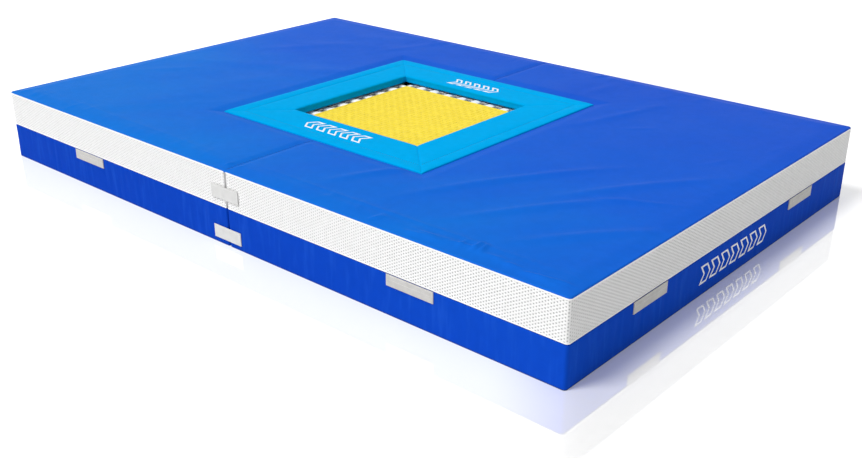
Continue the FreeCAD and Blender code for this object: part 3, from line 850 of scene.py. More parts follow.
def side_dent(distance, z):
    """Shallow upright wrinkles of the lower layer's side, as a depth inwards."""
    share = (z - BASE_TOP) / (LOWER_TOP - BASE_TOP)
    rng = np.random.default_rng(5)
    total = np.zeros_like(distance)
    for s in np.arange(0.03, distance[-1], 0.055):
        middle = s + rng.uniform(-0.025, 0.025) + rng.uniform(-0.012, 0.012) * share
        width = rng.uniform(0.006, 0.022)
        depth = rng.uniform(0.2, 1.3) * MM
        place_up = rng.uniform(0.1, 0.9)
        fade = math.exp(-(((share - place_up) / 0.5) ** 2))
        total += depth * fade * np.exp(-(((distance - middle) / width) ** 2))
    waves = 1 + np.sin(distance * 9 + 4 * share) * np.sin(distance * 3.1)
    slack = 0.5 * MM * waves * math.sin(math.pi * min(max(share, 0), 1))
    return np.clip(total + slack, 0, 3 * MM)


def base_sheet(edge, low, middle, high):
    """Sheet under a layer, with a slightly rounded edge at an inset."""
    section = [(SHEET_REACH, low), (edge, low), (edge - 0.4 * MM, middle), (edge, high), (SHEET_REACH, high)]
    return cushion(section, 30 * MM)


def mat_half(name, sign):
    """All visible pieces of one half of the mat."""

    def made(shape, piece, finish, layer, slot, *nodes, closed=True):
        nodes = [f"{name}_{node}" for node in nodes]
        return finished(shape, f"{name}_{piece}", finish, f"{name}_{layer}_mat", slot, *nodes,
                        mirrored=sign < 0, closed=closed)

    side = cushion_profile(BASE_TOP, LOWER_TOP, 0.0, 2.5 * MM, 6 * MM, 15)
    body = cushion(side, 7 * MM, side_dent)
    body = made(body, "lower_cushion", "lower_pvc", "lower", "lower_pvc", "lower_cover", "lower_foam")

    base = base_sheet(1.0 * MM, 0.0, BASE_TOP * 0.5, BASE_TOP * 0.95)
    base = made(base, "lower_base_sheet", "base", "lower", "base_pvc", "lower_base")

    side = cushion_profile(BAND_LOW + 1 * MM, MAT_TOP - 9 * MM, 3.2 * MM, 4 * MM, 5 * MM, 8)
    core = cushion(side, 20 * MM, joint=JOINT_GAP)
    core = made(core, "upper_core", "sleeve", "upper", "mat_foam", "upper_foam")

    base = base_sheet(2.0 * MM, UPPER_BOTTOM, UPPER_BOTTOM + 0.5 * MM, BAND_LOW)
    base = made(base, "upper_base_sheet", "upper_base", "upper", "base_pvc", "upper_base")

    top = made(top_sheet(sign), "top_sheet", "top_pvc", "upper", "top_pvc", "upper_top_sheet", closed=False)

    band = made(mesh_band(), "air_mesh", "air_mesh", "upper", "air_mesh", "upper_mesh_band", closed=False)
    inner = made(inner_side(), "inner_mesh", "inner_side", "upper", "air_mesh", closed=False)
    edge_path = outer_path(BAND_INSET, 12 * MM)
    tapes = [made(tape(low, low + TAPE_HEIGHT, edge_path), label + "_binding", "tape", "upper", "air_mesh")
             for label, low in (("top", BAND_HIGH - TAPE_HEIGHT), ("bottom", BAND_LOW - 0.5 * MM))]
    outer_length, inner_length = outer_path(0, 12 * MM)[2][-1], inner_path(0, 12 * MM)[2][-1]


for half_name, half_sign in HALVES.items():
    mat_half(half_name, half_sign)


# ---------------------------------------------------------------- flat webbing: tabs, straps, tapes and ties
UP = (0, 0, 1)


def webbing(shape, origin, across, up, width, height, thick, wave=0.0, seed=0):
    """Adds a strip of webbing with rounded edges, from a corner of its back; it faces across x up."""
    origin, across, up = (np.array(v, float) for v in (origin, across, up))
    out = np.cross(across, up)
    edge = roll_lines(thick / 2, 4)
    u = np.concatenate((edge, between(thick / 2, width - thick / 2, 6 * MM), width - edge[::-1]))
    v = np.concatenate((edge, between(thick / 2, height - thick / 2, 6 * MM), height - edge[::-1]))
    uu, vv = np.meshgrid(u, v)
    rim = np.minimum(np.minimum(uu, width - uu), np.minimum(vv, height - vv))
    half = thick / 2 - roll_drop(rim, thick / 2)
    waves = np.sin(uu / width * 7.3 + seed) * np.sin(vv / height * 3.1 + 1.3 * seed)
    lift = wave * waves * (vv < height - 1e-9)
    faces = lattice(len(v), len(u))
    for face_sign in (1, -1):
        w = thick / 2 + half * face_sign + lift
        points = origin + uu[..., None] * across + vv[..., None] * up + w[..., None] * out
        shape.add(points, faces if face_sign > 0 else faces[:, ::-1])


def stitches(shape, path, out, length=4 * MM, gap=3 * MM, radius=0.5 * MM):
    """Adds a row of stitches along a path of points, raised along out."""
    path = np.asarray(path, float)
    steps = np.linalg.norm(np.diff(path, axis=0), axis=1)
    distance = np.concatenate(((0,), np.cumsum(steps)))
    starts = np.arange(gap, distance[-1] - length, length + gap)
    angles = np.arange(5) * 2 * math.pi / 5
    faces = [lattice(4, 5, wrap_columns=True)]
    for start in starts:
        along = np.linspace(start, start + length, 4)
        centre = np.stack([np.interp(along, distance, path[:, k]) for k in range(3)], axis=-1)
        way = centre[-1] - centre[0]
        way /= np.linalg.norm(way)
        side = np.cross(way, out)
        points = []
        for place_at, size in zip(centre, (0.25, 1.0, 1.0, 0.25)):
            ring = np.outer(np.cos(angles), side) + np.outer(np.sin(angles), out)
            points.append(place_at + ring * radius * size)
        shape.add(np.concatenate(points), *faces, np.array((np.arange(5)[::-1], np.arange(15, 20))))


def strip_frame(node):
    """Lower corner at the back, way across, width, height and thickness of a flat upright CAD piece."""
    low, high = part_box(node)
    size = high - low
    if size.y < size.x:
        front = low.y < 0
        across = (1, 0, 0) if front else (-1, 0, 0)
        origin = (low.x, high.y, low.z) if front else (high.x, low.y, low.z)
        return origin, across, size.x, size.z, size.y
    left = low.x < 0
    across = (0, -1, 0) if left else (0, 1, 0)
    origin = (high.x, high.y, low.z) if left else (low.x, low.y, low.z)
    return origin, across, size.y, size.z, size.x


def box_stitch(shape, origin, across, width, thick, low, high):
    """Stitching round a rectangle on a flap, from low to high up its height."""
    origin, across = np.array(origin, float), np.array(across, float)
    out = np.cross(across, UP)
    inset = 5 * MM  # from the flap's sides
    corners = [(inset, low), (width - inset, low), (width - inset, high), (inset, high), (inset, low)]
    plan = stepped(corners, np.linspace(0, 1, 12))
    path = [origin + across * u + np.array(UP) * v + out * thick for u, v in plan]
    stitches(shape, path, out, 3 * MM, 2 * MM, 0.35 * MM)


def flap(node, finish, stitch_low, stitch_high):
    """Tab or strap: webbing with a stitched box, on a body of its own."""
    origin, across, width, height, thick = strip_frame(node)
    shape = Shape()
    webbing(shape, origin, across, UP, width, height, thick * 0.85, 0.15 * MM, len(node))
    piece = finished(shape, node + "_flap", finish, node, "tab_webbing", node)
    thread = Shape()
    box_stitch(thread, origin, across, width, thick * 0.85, stitch_low * height, stitch_high * height)
    sewn = finished(thread, node + "_stitching", "tape", node, "tab_webbing")
    min(width, height)
    max(width, height)


TABS = ("tab_front_left", "tab_back_left", "tab_left_front", "tab_left_back",
        "tab_front_right", "tab_back_right", "tab_right_front", "tab_right_back")
STRAPS = ("strap_upper_front", "strap_lower_front", "strap_upper_back", "strap_lower_back")
for tab_node in TABS:
    flap(tab_node, "tab", 0.55, 0.90)
for strap_node in STRAPS:
    flap(strap_node, "strap", 0.12, 0.88)

PATCH_THICK = 0.9 * MM


def patch_on(shape, node, back_step):
    """Adds a loop-tape patch on the mat's side behind a tab or strap."""
    origin, across, width, height, _ = strip_frame(node)
    out = np.cross(across, UP)
    origin = np.array(origin) - out * back_step
    if node.startswith("strap"):
        low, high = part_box(node)
        width = high.x - 8 * MM
        start_x = 8 * MM if across[0] > 0 else high.x
        origin = np.array((start_x, origin[1], low.z))
    webbing(shape, origin, across, UP, width, height - 1 * MM, PATCH_THICK)


def loop_patches():
    """Loop tape under the tabs of each half, and under the straps' free ends on the right half."""
    stand_off = abs(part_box("tab_front_right")[1].y) - WIDE
    groups = {
        "left_lower": [t for t in TABS if "left" in t],
        "right_lower": [t for t in TABS if "left" not in t] + [s for s in STRAPS if "lower" in s],
        "right_upper": [s for s in STRAPS if "upper" in s],
    }
    for group, nodes in groups.items():
        shape = Shape()
        for node in nodes:
            patch_on(shape, node, stand_off + 0.1 * MM)
        patches = group + "_loop_patches"
        finished(shape, group + "_loop_tape", "loop_tape", group + "_mat", "loop_tape", patches)


loop_patches()


# ---------------------------------------------------------------- stitching of the top sheets at the joint
def seam_stitching():
    """Dark stitches along both sides of the joint between the halves."""
    for name, sign in HALVES.items():
        shape = Shape()
        for end in (-1, 1):
            y = end * np.linspace(WELL + 0.004, WIDE - 0.012, 90)
            x = np.full_like(y, SHEET_NEAR + 3 * MM)
            z = top_height(x, y, sign)
            stitches(shape, np.column_stack((x, y, z)), (0, 0, 1), 7 * MM, 7 * MM, 0.6 * MM)
        finished(shape, name + "_seam_stitching", "thread", name + "_upper_mat", "top_pvc", mirrored=sign < 0)


seam_stitching()


# ---------------------------------------------------------------- frame pad
PAD_INNER_ROLL = 5 * MM
PAD_OUTER_ROLL = 4 * MM
PAD_CHANNEL = PAD_STEP + 1 * MM  # radius of the sewn channel
PAD_PRESSURE = 4.0
PAD_RISE_CAP = 3.0 * MM  # the pad is firm and nearly flat, so the swelling is capped
PAD_WALL_CAP = 1.5 * MM  # the same on its inner wall


def capped(move, most):
    """A move eased off so that it never passes a limit."""
    return most * np.tanh(move / most)


def swollen_pad():
    """How one pad section swells: its top's rise and its inner wall's pull, each as (scale, share, grid).

    The cover is simulated as cloth under pressure, held at the mitres, along the channel and underneath.
    """
    wall = np.linspace(PAD_BOTTOM, PAD_TOP, 5)
    top = np.concatenate((np.linspace(OPENING, PAD_CHANNEL, 22), np.linspace(PAD_CHANNEL, PAD_HALF, 10)[1:]))
    section = [(OPENING, z) for z in wall[:-1]] + [(r, PAD_TOP) for r in top]
    section += [(PAD_HALF, z) for z in np.linspace(PAD_TOP, PAD_OVER_RAIL, 3)[1:]]
    section += [(r, PAD_OVER_RAIL) for r in np.linspace(PAD_HALF, PAD_STEP, 9)[1:]]
    section += [(PAD_STEP, z) for z in np.linspace(PAD_OVER_RAIL, PAD_BOTTOM, 3)[1:]]
    section += [(r, PAD_BOTTOM) for r in np.linspace(PAD_STEP, OPENING, 22)[1:-1]]
    share = np.linspace(-1, 1, 141)
    rest = np.array(mitred_rows(share, section))
    shape = Shape()
    shape.add(rest, lattice(len(section), len(share), wrap_rows=True))
    cover = shape.object("pad_trial", FINISHES["pad_pvc"])
    held = []
    for row, (r, z) in enumerate(section):
        sewn = abs(r - PAD_CHANNEL) < 0.1 * MM and z == PAD_TOP
        underneath = z <= PAD_OVER_RAIL + 0.1 * MM and r > OPENING
        for column in range(len(share)):
            if sewn or underneath or column in (0, len(share) - 1):
                held.append(row * len(share) + column)
    cover.vertex_groups.new(name="held").add(held, 1.0, "REPLACE")
    cloth = cover.modifiers.new("cloth", "CLOTH")
    settings = cloth.settings
    settings.quality = 6
    settings.mass = 0.3
    settings.tension_stiffness = settings.compression_stiffness = 40
    settings.shear_stiffness = 20
    settings.bending_stiffness = 2
    settings.tension_damping = settings.compression_damping = 10
    settings.use_pressure = True
    settings.uniform_pressure_force = PAD_PRESSURE
    settings.vertex_group_mass = "held"
    settings.effector_weights.gravity = 0
    cloth.point_cache.frame_start, cloth.point_cache.frame_end = 1, 20
    scene = bpy.context.scene
    for frame_number in range(1, 21):
        scene.frame_set(frame_number)
    settled = cover.evaluated_get(bpy.context.evaluated_depsgraph_get()).data
    points = np.empty(rest.size)
    settled.vertices.foreach_get("co", points)
    move = points.reshape(rest.shape) - rest
    scene.frame_set(1)
    mesh = cover.data
    bpy.data.objects.remove(cover)
    bpy.data.meshes.remove(mesh)
    first = len(wall) - 1
    rise = capped(move[first:first + len(top), :, 2], PAD_RISE_CAP)
    pull = capped(move[:len(wall), :, 1], PAD_WALL_CAP)
    return (top, share, rise), (wall, share, pull)


PAD_TOP_RISE, PAD_WALL_PULL = swollen_pad()


def sampled(field, a, b):
    """Values of a field, given as two rising scales and a grid, between its points."""
    rows, columns, grid = field
    i = np.clip(np.searchsorted(rows, a) - 1, 0, len(rows) - 2)
    j = np.clip(np.searchsorted(columns, b) - 1, 0, len(columns) - 2)
    u = np.clip((a - rows[i]) / (rows[i + 1] - rows[i]), 0, 1)
    v = np.clip((b - columns[j]) / (columns[j + 1] - columns[j]), 0, 1)
    near = grid[i, j] * (1 - v) + grid[i, j + 1] * v
    far = grid[i + 1, j] * (1 - v) + grid[i + 1, j + 1] * v
    return near * (1 - u) + far * u


def pad_height(r, x):
    """Height of the pad's top at radius r of the back section, x along it."""
    puff = sampled(PAD_TOP_RISE, r, x / r)
    channel = 1.1 * MM * np.exp(-(((r - PAD_CHANNEL) / (2.5 * MM)) ** 2))
    mitre = 1.6 * MM * np.exp(-(r - np.abs(x)) / (4 * MM))
    slack = 0.25 * MM * np.sin(x * 23 + 3) * np.sin(r * 61 + x * 7)
    drop = np.maximum(roll_drop(r - OPENING, PAD_INNER_ROLL), roll_drop(PAD_HALF - r, PAD_OUTER_ROLL))
    return PAD_TOP + puff - channel - mitre + slack - drop


def pad_section(turn, name):
    """One padded section of the frame pad, sewn to its neighbours at the mitres."""
    top_r = np.concatenate((
        OPENING + roll_lines(PAD_INNER_ROLL), between(OPENING + PAD_INNER_ROLL, PAD_CHANNEL - 6 * MM, 8 * MM),
        PAD_CHANNEL + np.linspace(-6, 6, 9) * MM,
        between(PAD_CHANNEL + 6 * MM, PAD_HALF - PAD_OUTER_ROLL, 7 * MM),
        PAD_HALF - roll_lines(PAD_OUTER_ROLL)[::-1]))
    wall = np.linspace(PAD_BOTTOM + 3 * MM, PAD_TOP - PAD_INNER_ROLL, 6)[:-1]
    under = [(PAD_HALF, PAD_OVER_RAIL + 4 * MM), (PAD_HALF - 0.5 * MM, PAD_OVER_RAIL + 1 * MM),
             (PAD_HALF - 3 * MM, PAD_OVER_RAIL), (PAD_STEP + 3 * MM, PAD_OVER_RAIL),
             (PAD_STEP, PAD_OVER_RAIL - 2 * MM), (PAD_STEP, PAD_BOTTOM + 3 * MM),
             (PAD_STEP - 3 * MM, PAD_BOTTOM)]
    under += [(r, PAD_BOTTOM) for r in np.linspace(PAD_STEP - 0.03, OPENING + 0.03, 5)]
    under += [(OPENING + 3 * MM, PAD_BOTTOM), (OPENING + 0.5 * MM, PAD_BOTTOM + 1 * MM)]
    ends = 1 - np.array((0, 1, 2.5, 4.5, 7.5, 12, 18, 27)) * MM
    t = np.concatenate((-ends, between(-ends[-1], ends[-1], 0.022), ends[::-1]))
    rows = []
    for r, z in [(OPENING, z) for z in wall] + [(r, None) for r in top_r] + under:
        x = t * r
        level = pad_height(np.full_like(x, r), x) if z is None else np.full_like(x, z)
        y = np.full_like(x, r)
        if z in wall:
            y += sampled(PAD_WALL_PULL, level, t)
        rows.append(np.column_stack((x, y, level)))
    shape = Shape()
    closed_strip(shape, rows, turn)
    nodes = ("pad_cover_" + name, "pad_foam_" + name)
    piece = finished(shape, "pad_section_" + name, "pad_pvc", "frame_pad", "pad_pvc", *nodes)


def pad_stitching():
    """Stitches along the sewn channel of all four sections."""
    shape = Shape()
    for turn in TURNS.values():
        x = np.linspace(-PAD_CHANNEL + 0.004, PAD_CHANNEL - 0.004, 160)
        r = np.full_like(x, PAD_CHANNEL)
        path = np.column_stack((x, r, pad_height(r, x) + 0.2 * MM))
        stitches(shape, turned(path, turn), (0, 0, 1), 6 * MM, 5 * MM, 0.7 * MM)
    finished(shape, "pad_stitching", "pad_thread", "frame_pad", "pad_pvc")


for side_name, side_turn in TURNS.items():
    pad_section(side_turn, side_name)
pad_stitching()


def pad_ties():
    """Fixing ties that hang from the pad's outer edge, three a side."""
    low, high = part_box("pad_ties")
    width, thick = 0.030, 1.1 * MM
    shape = Shape()
    for k, turn in enumerate(TURNS.values()):
        across = turned([(-1, 0, 0)], turn)[0]
        for x in (-0.330, 0.0, 0.330):
            corner = turned([(x + width / 2, high.y - 1.2 * MM, low.z)], turn)[0]
            webbing(shape, corner, across, UP, width, high.z - low.z, thick, 0.0, k)
    finished(shape, "pad_tie_webbing", "loop", "frame_pad", "tie_webbing", "pad_ties")


pad_ties()


# ---------------------------------------------------------------- printed chevrons
def offset_polygon(points, distance):
    """Corners of a polygon moved inwards by a distance; the polygon runs anticlockwise."""
    moved = []
    total = len(points)
    for k in range(total):
        a, b, c = (np.array(points[(k + i) % total], float) for i in (-1, 0, 1))
        in_way, out_way = (b - a) / np.linalg.norm(b - a), (c - b) / np.linalg.norm(c - b)
        n_in, n_out = np.array((-in_way[1], in_way[0])), np.array((-out_way[1], out_way[0]))
        corner = (n_in + n_out) / (1 + n_in.dot(n_out))
        moved.append(b + corner * distance)
    return moved


def chevrons(shape, count, width, height, stroke, surface):
    """Adds a row of outlined chevrons; surface turns plan (u, v) arrays and a lift into points."""
    low, high = -0.3 * MM, 0.35 * MM  # from below the cover's surface to above it
    pitch = width / count
    slant = height * 0.36
    bar = pitch * 1.25
    for k in range(count):
        u0 = -width / 2 + k * pitch - slant * 0.2
        outline = [(u0, -height / 2), (u0 + bar * 0.55, -height / 2), (u0 + bar * 0.55 + slant, 0),
                   (u0 + bar * 0.55, height / 2), (u0, height / 2), (u0 + slant, 0)]
        inner = offset_polygon(outline, stroke)
        rings = []
        for ring, lift in ((outline, low), (outline, high), (inner, high), (inner, low)):
            path = stepped(ring + ring[:1], np.linspace(0, 1, 9)[:-1])
            rings.append(surface(path[:, 0], path[:, 1], lift))
        shape.add(np.concatenate(rings), lattice(4, len(rings[0]), wrap_rows=True, wrap_columns=True))


def pad_print():
    """Chevrons on the front and back sections of the pad."""
    shape = Shape()

    def on_pad(middle_x, middle_r, turn):
        def surface(u, v, lift):
            x, r = middle_x + u, middle_r + v
            return turned(np.column_stack((x, r, pad_height(r, x) + lift)), turn)
        return surface

    # the front row is wider, and sits a little further out
    chevrons(shape, 5, 0.33, 0.078, 8 * MM, on_pad(0.005, 0.438, TURNS["front"]))
    chevrons(shape, 5, 0.26, 0.074, 8 * MM, on_pad(0.007, 0.420, TURNS["back"]))
    finished(shape, "pad_print", "print", "frame_pad", "pad_pvc")


def side_print():
    """Chevrons on the right side of the lower layer."""
    points, _, distance = half_ring(0, 7 * MM)
    at_corner = int(np.argmax((points[:, 0] > FAR - 1e-6) & (points[:, 1] > -WIDE)))
    shape = Shape()

    def surface(u, v, lift):
        y, z = 0.032 + u, 0.079 + v
        s = distance[at_corner] + (y - points[at_corner, 1])
        dent = np.array([side_dent(np.append(one, distance[-1]), height)[0] for one, height in zip(s, z)])
        return np.column_stack((FAR - dent + lift, y, z))

    chevrons(shape, 7, 0.50, 0.070, 7 * MM, surface)
    finished(shape, "side_print", "print", "right_lower_mat", "lower_pvc")


pad_print()
side_print()


# ---------------------------------------------------------------- bed
RIBBONS = 30
RIBBON_THICK = 0.9 * MM
WEAVE = 0.65 * MM  # how far a ribbon rises and falls


def ribbons(along_x):
    """All the ribbons of the bed that run one way, going over and under those that cross them."""
    pitch = 2 * BED_HALF / RIBBONS
    rng = np.random.default_rng(3 if along_x else 4)
    stations = np.linspace(-BED_HALF, BED_HALF, RIBBONS * 4 + 1)
    level = BED_TOP - WEAVE - RIBBON_THICK / 2 - 0.1 * MM
    shape = Shape()
    for k in range(RIBBONS):
        middle = -BED_HALF + (k + 0.5) * pitch
        phase = 1 if (k + along_x) % 2 else -1
        half = pitch * rng.uniform(0.455, 0.485)
        thick = RIBBON_THICK / 2
        flat = half * 0.86
        section = ((-half, 0), (-flat, -thick), (flat, -thick), (half, 0), (flat, thick), (-flat, thick))
        sway = 0.4 * MM * np.sin(stations * rng.uniform(8, 14) + rng.uniform(0, 6))
        rise = WEAVE * phase * np.sin(math.pi * (stations + BED_HALF) / pitch) * rng.uniform(0.85, 1.1)
        rows = []
        for across, up in section:
            u, v = stations, middle + across + sway
            edge = rng.uniform(-0.15, 0.15) * MM
            plan = (u, v) if along_x else (v, u)
            rows.append(np.column_stack((*plan, level + rise + up + edge)))
        closed_strip(shape, rows)
    return shape


def bed_pieces():
    """Woven bed, its edge binding and its hem."""
    weave = {"bed_weave_across": (1, ["bed_fabric"]), "bed_weave_along": (0, [])}
    for name, (along_x, stands_for) in weave.items():
        piece = finished(ribbons(along_x), name, "bed", "bed", "bed_webbing", *stands_for)

    edge, hem_bottom = BED_HALF, HEM_BOTTOM
    rim_section = [(edge - 9 * MM, BED_TOP + 0.1 * MM), (edge - 1 * MM, BED_TOP + 0.2 * MM),
                   (edge + 0.6 * MM, BED_TOP - 1 * MM), (edge + 0.6 * MM, hem_bottom + 1 * MM),
                   (edge - 1 * MM, hem_bottom - 0.2 * MM), (edge - 9 * MM, hem_bottom - 0.1 * MM),
                   (edge - 9 * MM, hem_bottom + 0.7 * MM), (edge - 1.6 * MM, hem_bottom + 0.9 * MM),
                   (edge - 1.6 * MM, BED_TOP - 1 * MM), (edge - 9 * MM, BED_TOP - 0.8 * MM)]
    inner = edge - 38 * MM
    hem_section = [(inner, hem_bottom + 0.4 * MM), (inner + 1 * MM, hem_bottom),
                   (edge - 2 * MM, hem_bottom), (edge - 2 * MM, hem_bottom + 2.4 * MM),
                   (inner + 1 * MM, hem_bottom + 2.4 * MM), (inner, hem_bottom + 2.0 * MM)]
    rim, hem = Shape(), Shape()
    share = np.linspace(-1, 1, 61)
    for turn in TURNS.values():
        closed_strip(rim, mitred_rows(share, rim_section), turn)
        closed_strip(hem, mitred_rows(share, hem_section), turn)
    finished(rim, "bed_rim_binding", "bed_rim", "bed", "hem_webbing")
    finished(hem, "bed_hem_webbing", "hem", "bed", "hem_webbing", "bed_hem")


bed_pieces()


def spring_places():
    """Places of the springs along one side."""
    return (np.arange(SPRINGS_PER_SIDE) - (SPRINGS_PER_SIDE - 1) / 2) * SPRING_PITCH


def lattice_cap(count, start, backwards):
    """Quads that close the end of a folded strip whose outline goes out and comes back."""
    k = np.arange(count // 2 - 1)
    quads = np.stack((k, k + 1, count - 2 - k, count - 1 - k), axis=-1) + start
    return quads[:, ::-1] if backwards else quads


def ring_loops():
    """Webbing loops that hold the rings under the hem."""
    width, wall = 20 * MM, 1.4 * MM
    around = RING_WIRE + 0.2 * MM + wall / 2
    turns = np.radians(np.linspace(115, -115, 11))
    fold = [(RING_IN + around * math.cos(a), SPRING_Z + around * math.sin(a)) for a in turns]
    tail, bend = BED_HALF - 7.5 * MM, BED_HALF - 1.5 * MM  # where the loop starts, and where it turns down
    upper, lower = HEM_BOTTOM - wall / 2, HEM_BOTTOM - wall * 1.5 - 0.1 * MM
    line = [(tail, upper), (bend, upper)] + fold + [(bend + 0.5 * MM, lower), (tail, lower)]
    line = np.array(line)
    way = np.gradient(line, axis=0)
    way /= np.linalg.norm(way, axis=1)[:, None]
    across = np.column_stack((-way[:, 1], way[:, 0])) * wall / 2
    outline = np.concatenate((line + across, (line - across)[::-1]))
    shape = Shape()
    x = np.array((-width / 2, -width / 2 + 0.5 * MM, 0, width / 2 - 0.5 * MM, width / 2))
    for turn in TURNS.values():
        for middle in spring_places():
            rows = [np.column_stack((np.full(len(outline), middle + dx), outline)) for dx in x]
            count = len(outline)
            last = (len(x) - 1) * count
            shape.add(turned(np.concatenate(rows), turn), lattice(len(x), count, wrap_columns=True),
                      lattice_cap(count, 0, True), lattice_cap(count, last, False))
    finished(shape, "ring_loop_webbing", "loop", "bed", "loop_webbing", "ring_loops")


ring_loops()


GUARD_IN = 0.264  # where each strip starts under the bed's hem
GUARD_HALF = 0.318  # half its length as it lies


def guards():
    """White strips that close the gap round the bed: under the rings, billowing up between them."""
    bottom = HEM_BOTTOM - 3.3 * MM
    level = GUARD_Z + 1.2 * MM
    under_rings = SPRING_Z - RING_WIRE - 2.4 * MM
    # each row is (r, z, how loose the strip is there)
    profile = [(GUARD_IN, bottom, 0), (0.280, bottom, 0), (0.292, bottom - 0.2 * MM, 0),
               (0.298, bottom - 2 * MM, 0)]
    for r in np.concatenate((np.linspace(0.302, 0.370, 18), np.linspace(0.380, GUARD_OUT, 5))):
        sag = level + (under_rings - level) * (1 - smoothstep((r - 0.338) / 0.020))
        start, end = smoothstep((r - 0.300) / 0.012), 1 - smoothstep((r - 0.365) / 0.06)
        profile.append((r, sag, start * end))
    t = np.linspace(-1, 1, 161)
    for k, (name, turn) in enumerate(TURNS.items()):
        rows = []
        for r, z, loose in profile:
            x = np.clip(t * GUARD_HALF, -r, r)
            between_rings = smoothstep(0.5 + 0.8 * np.cos(x * 2 * math.pi / SPRING_PITCH))
            uneven = 0.85 + 0.15 * np.sin(x * 23 + 2 * k)
            rise = loose * (PAD_BOTTOM - 5.5 * MM - z) * between_rings * uneven
            rows.append(np.column_stack((x, np.full_like(x, r), z + rise)))
        shape = Shape()
        shape.add(turned(np.concatenate(rows), turn), lattice(len(rows), len(t)))
        piece = finished(shape, "guard_strip_" + name, "guard", "bed", "guard_fabric", closed=False)
    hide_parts("spring_guard")


guards()


# ---------------------------------------------------------------- springs
def spring_path():
    """Centre line of one extension spring of the back side, with its axis at x = 0."""
    coil = SPRING_RADIUS - SPRING_WIRE
    ring_hook = RING_WIRE + 0.3 * MM + SPRING_WIRE
    bar_hook = HOOK_BAR_RADIUS + 0.3 * MM + SPRING_WIRE
    start, end = RING_OUT + ring_hook + 3 * MM, HOOK_BAR_R - bar_hook - 3 * MM
    pitch = 3.35 * MM
    turns = round((end - start) / pitch)
    path = []
    for a in np.radians(np.arange(285, 20, -20)):
        path.append((0, RING_OUT + ring_hook * math.cos(a), SPRING_Z + ring_hook * math.sin(a)))
    steps = turns * 14
    for k in range(steps + 1):
        share = k / steps
        grow = min(1, k / 10, (steps - k) / 10)
        angle = 2 * math.pi * turns * share
        radius = coil * (0.12 + 0.88 * grow)
        along = start + (end - start) * share
        path.append((radius * math.sin(angle), along, SPRING_Z + radius * math.cos(angle)))
    for a in np.radians(np.arange(160, -110, -20)):
        path.append((0, HOOK_BAR_R + bar_hook * math.cos(a), SPRING_Z + bar_hook * math.sin(a)))
    return np.array(path)


def springs():
    """Extension springs from the frame to the bed, built as they lie at rest."""
    path = spring_path()
    for name, turn in TURNS.items():
        shape = Shape()
        for middle in spring_places():
            swept(shape, turned(path + (middle, 0, 0), turn), SPRING_WIRE, 6)
        piece = shape.object("spring_coils_" + name, FINISHES["zinc"])
        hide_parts("springs_" + name)
        start = turned([(0, HOOK_BAR_R, SPRING_Z)], turn)[0]
        end = turned([(0, RING_OUT, SPRING_Z)], turn)[0]
        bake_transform(piece)


springs()


# ---------------------------------------------------------------- finishes of the CAD nodes that show
NODE_FINISH = {"rail_": "frame_paint", "leg_bolts": "zinc", "leg_": "frame_paint",
               "lower_bars": "frame_paint", "corner_gussets": "frame_paint", "hook_bars": "zinc",
               "rubber_feet": "rubber", "bed_rings": "ring"}
for node_name, node_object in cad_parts.items():
    for prefix, node_finish in NODE_FINISH.items():
        if node_name.startswith(prefix):
            for material_slot in node_object.material_slots:
                material_slot.material = FINISHES[node_finish]
            break


# ---------------------------------------------------------------- stage
def added(tree, kind, *linked, **values):
    """Adds a shader node, sets its named inputs and links its first inputs from the given outputs."""
    made = tree.nodes.new(kind)
    for key, value in values.items():
        made.inputs[key.replace("_", " ")].default_value = value
    for target, source in linked:
        tree.links.new(source, made.inputs[target])
    return made


def floor():
    """Glossy pale studio floor, which glows more in front of the mat than beside it."""
    mesh = bpy.data.meshes.new("floor")
    reach, level = 30, -0.2 * MM
    corners = [(-reach, -reach, level), (reach, -reach, level), (reach, reach, level), (-reach, reach, level)]
    mesh.from_pydata(corners, [], [(0, 1, 2, 3)])
    finish = bpy.data.materials.new("floor")
    finish.use_nodes = True
    tree = finish.node_tree
    tree.nodes.clear()
    diffuse = added(tree, "ShaderNodeBsdfDiffuse", Color=(0.93, 0.93, 0.93, 1))
    gloss = added(tree, "ShaderNodeBsdfGlossy", Color=(1, 1, 1, 1), Roughness=0.04)
    surface = added(tree, "ShaderNodeMixShader", (1, diffuse.outputs[0]), (2, gloss.outputs[0]), Fac=0.48)

    leftward, forward = -0.84, -0.54  # the way in which the glow falls off
    place_on = added(tree, "ShaderNodeTexCoord").outputs["Object"]
    across = added(tree, "ShaderNodeVectorMath", (0, place_on))
    across.operation = "DOT_PRODUCT"
    across.inputs[1].default_value = (leftward, forward, 0)
    corner = leftward * FAR - forward * WIDE
    limits = {"From_Min": corner - 0.10, "From_Max": corner + 0.25, "To_Min": 0.11, "To_Max": 0.40}
    light_fall = added(tree, "ShaderNodeMapRange", ("Value", across.outputs["Value"]), **limits)
    light_fall.interpolation_type = "SMOOTHSTEP"
    is_seen = added(tree, "ShaderNodeLightPath").outputs["Is Camera Ray"]
    seen_glow = added(tree, "ShaderNodeMath", (0, light_fall.outputs["Result"]), (1, is_seen))
    seen_glow.operation = "MULTIPLY"
    glow = added(tree, "ShaderNodeEmission", ("Strength", seen_glow.outputs["Value"]))
    total = added(tree, "ShaderNodeAddShader", (0, surface.outputs[0]), (1, glow.outputs[0]))
    added(tree, "ShaderNodeOutputMaterial", ("Surface", total.outputs[0]))
    mesh.materials.append(finish)
    linked("floor", mesh)


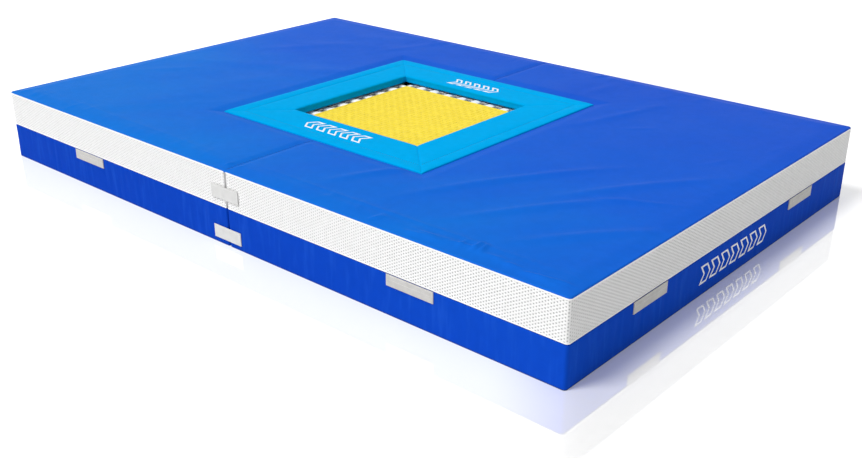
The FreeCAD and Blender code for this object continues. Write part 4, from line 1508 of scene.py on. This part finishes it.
def studio_world(seen, lit, mirrored):
    """Plain white world: how bright it is to the camera, as light, and in reflections."""
    world = bpy.data.worlds.new("studio")
    bpy.context.scene.world = world
    world.use_nodes = True
    tree = world.node_tree
    tree.nodes.clear()
    path = added(tree, "ShaderNodeLightPath").outputs
    shades = [added(tree, "ShaderNodeBackground", Color=(1, 1, 1, 1), Strength=strength).outputs[0]
              for strength in (seen, lit, mirrored)]
    gloss = added(tree, "ShaderNodeMixShader", ("Fac", path["Is Glossy Ray"]), (1, shades[1]), (2, shades[2]))
    view = added(tree, "ShaderNodeMixShader", ("Fac", path["Is Camera Ray"]), (1, gloss.outputs[0]),
                 (2, shades[0]))
    added(tree, "ShaderNodeOutputWorld", ("Surface", view.outputs[0]))


def key_light(place_at, spread, strength):
    """Broad, even light that shines from a point's direction towards the middle."""
    data = bpy.data.lights.new("key", "SUN")
    data.angle = math.radians(spread)
    data.energy = strength
    made = linked("key", data)
    made.location = place_at
    made.rotation_mode = "QUATERNION"
    made.rotation_quaternion = Vector(place_at).to_track_quat("Z", "Y")


def camera(place_at, azimuth, elevation, roll, lens):
    """Camera that looks back at the object from an azimuth and elevation in degrees."""
    azimuth, elevation, roll = (math.radians(a) for a in (azimuth, elevation, roll))
    level = math.cos(elevation)
    back = Vector((math.sin(azimuth) * level, -math.cos(azimuth) * level, math.sin(elevation)))
    across = Vector(UP).cross(back).normalized()
    up = back.cross(across)
    x = across * math.cos(roll) + up * math.sin(roll)
    y = up * math.cos(roll) - across * math.sin(roll)
    data = bpy.data.cameras.new("camera")
    data.sensor_width = 36
    data.lens = lens
    made = linked("camera", data)
    turn = Matrix((x, y, back)).transposed().to_4x4()
    made.matrix_world = Matrix.Translation(place_at) @ turn
    bpy.context.scene.camera = made


floor()
studio_world(seen=1.0, lit=0.40, mirrored=1.00)
key_light((-2.7, -4.8, 9.6), 18, 2.70)
camera((2.915, -3.201, 1.649), azimuth=41.18, elevation=23.80, roll=0.137, lens=44.36)
bpy.context.scene.view_settings.view_transform = "Standard"
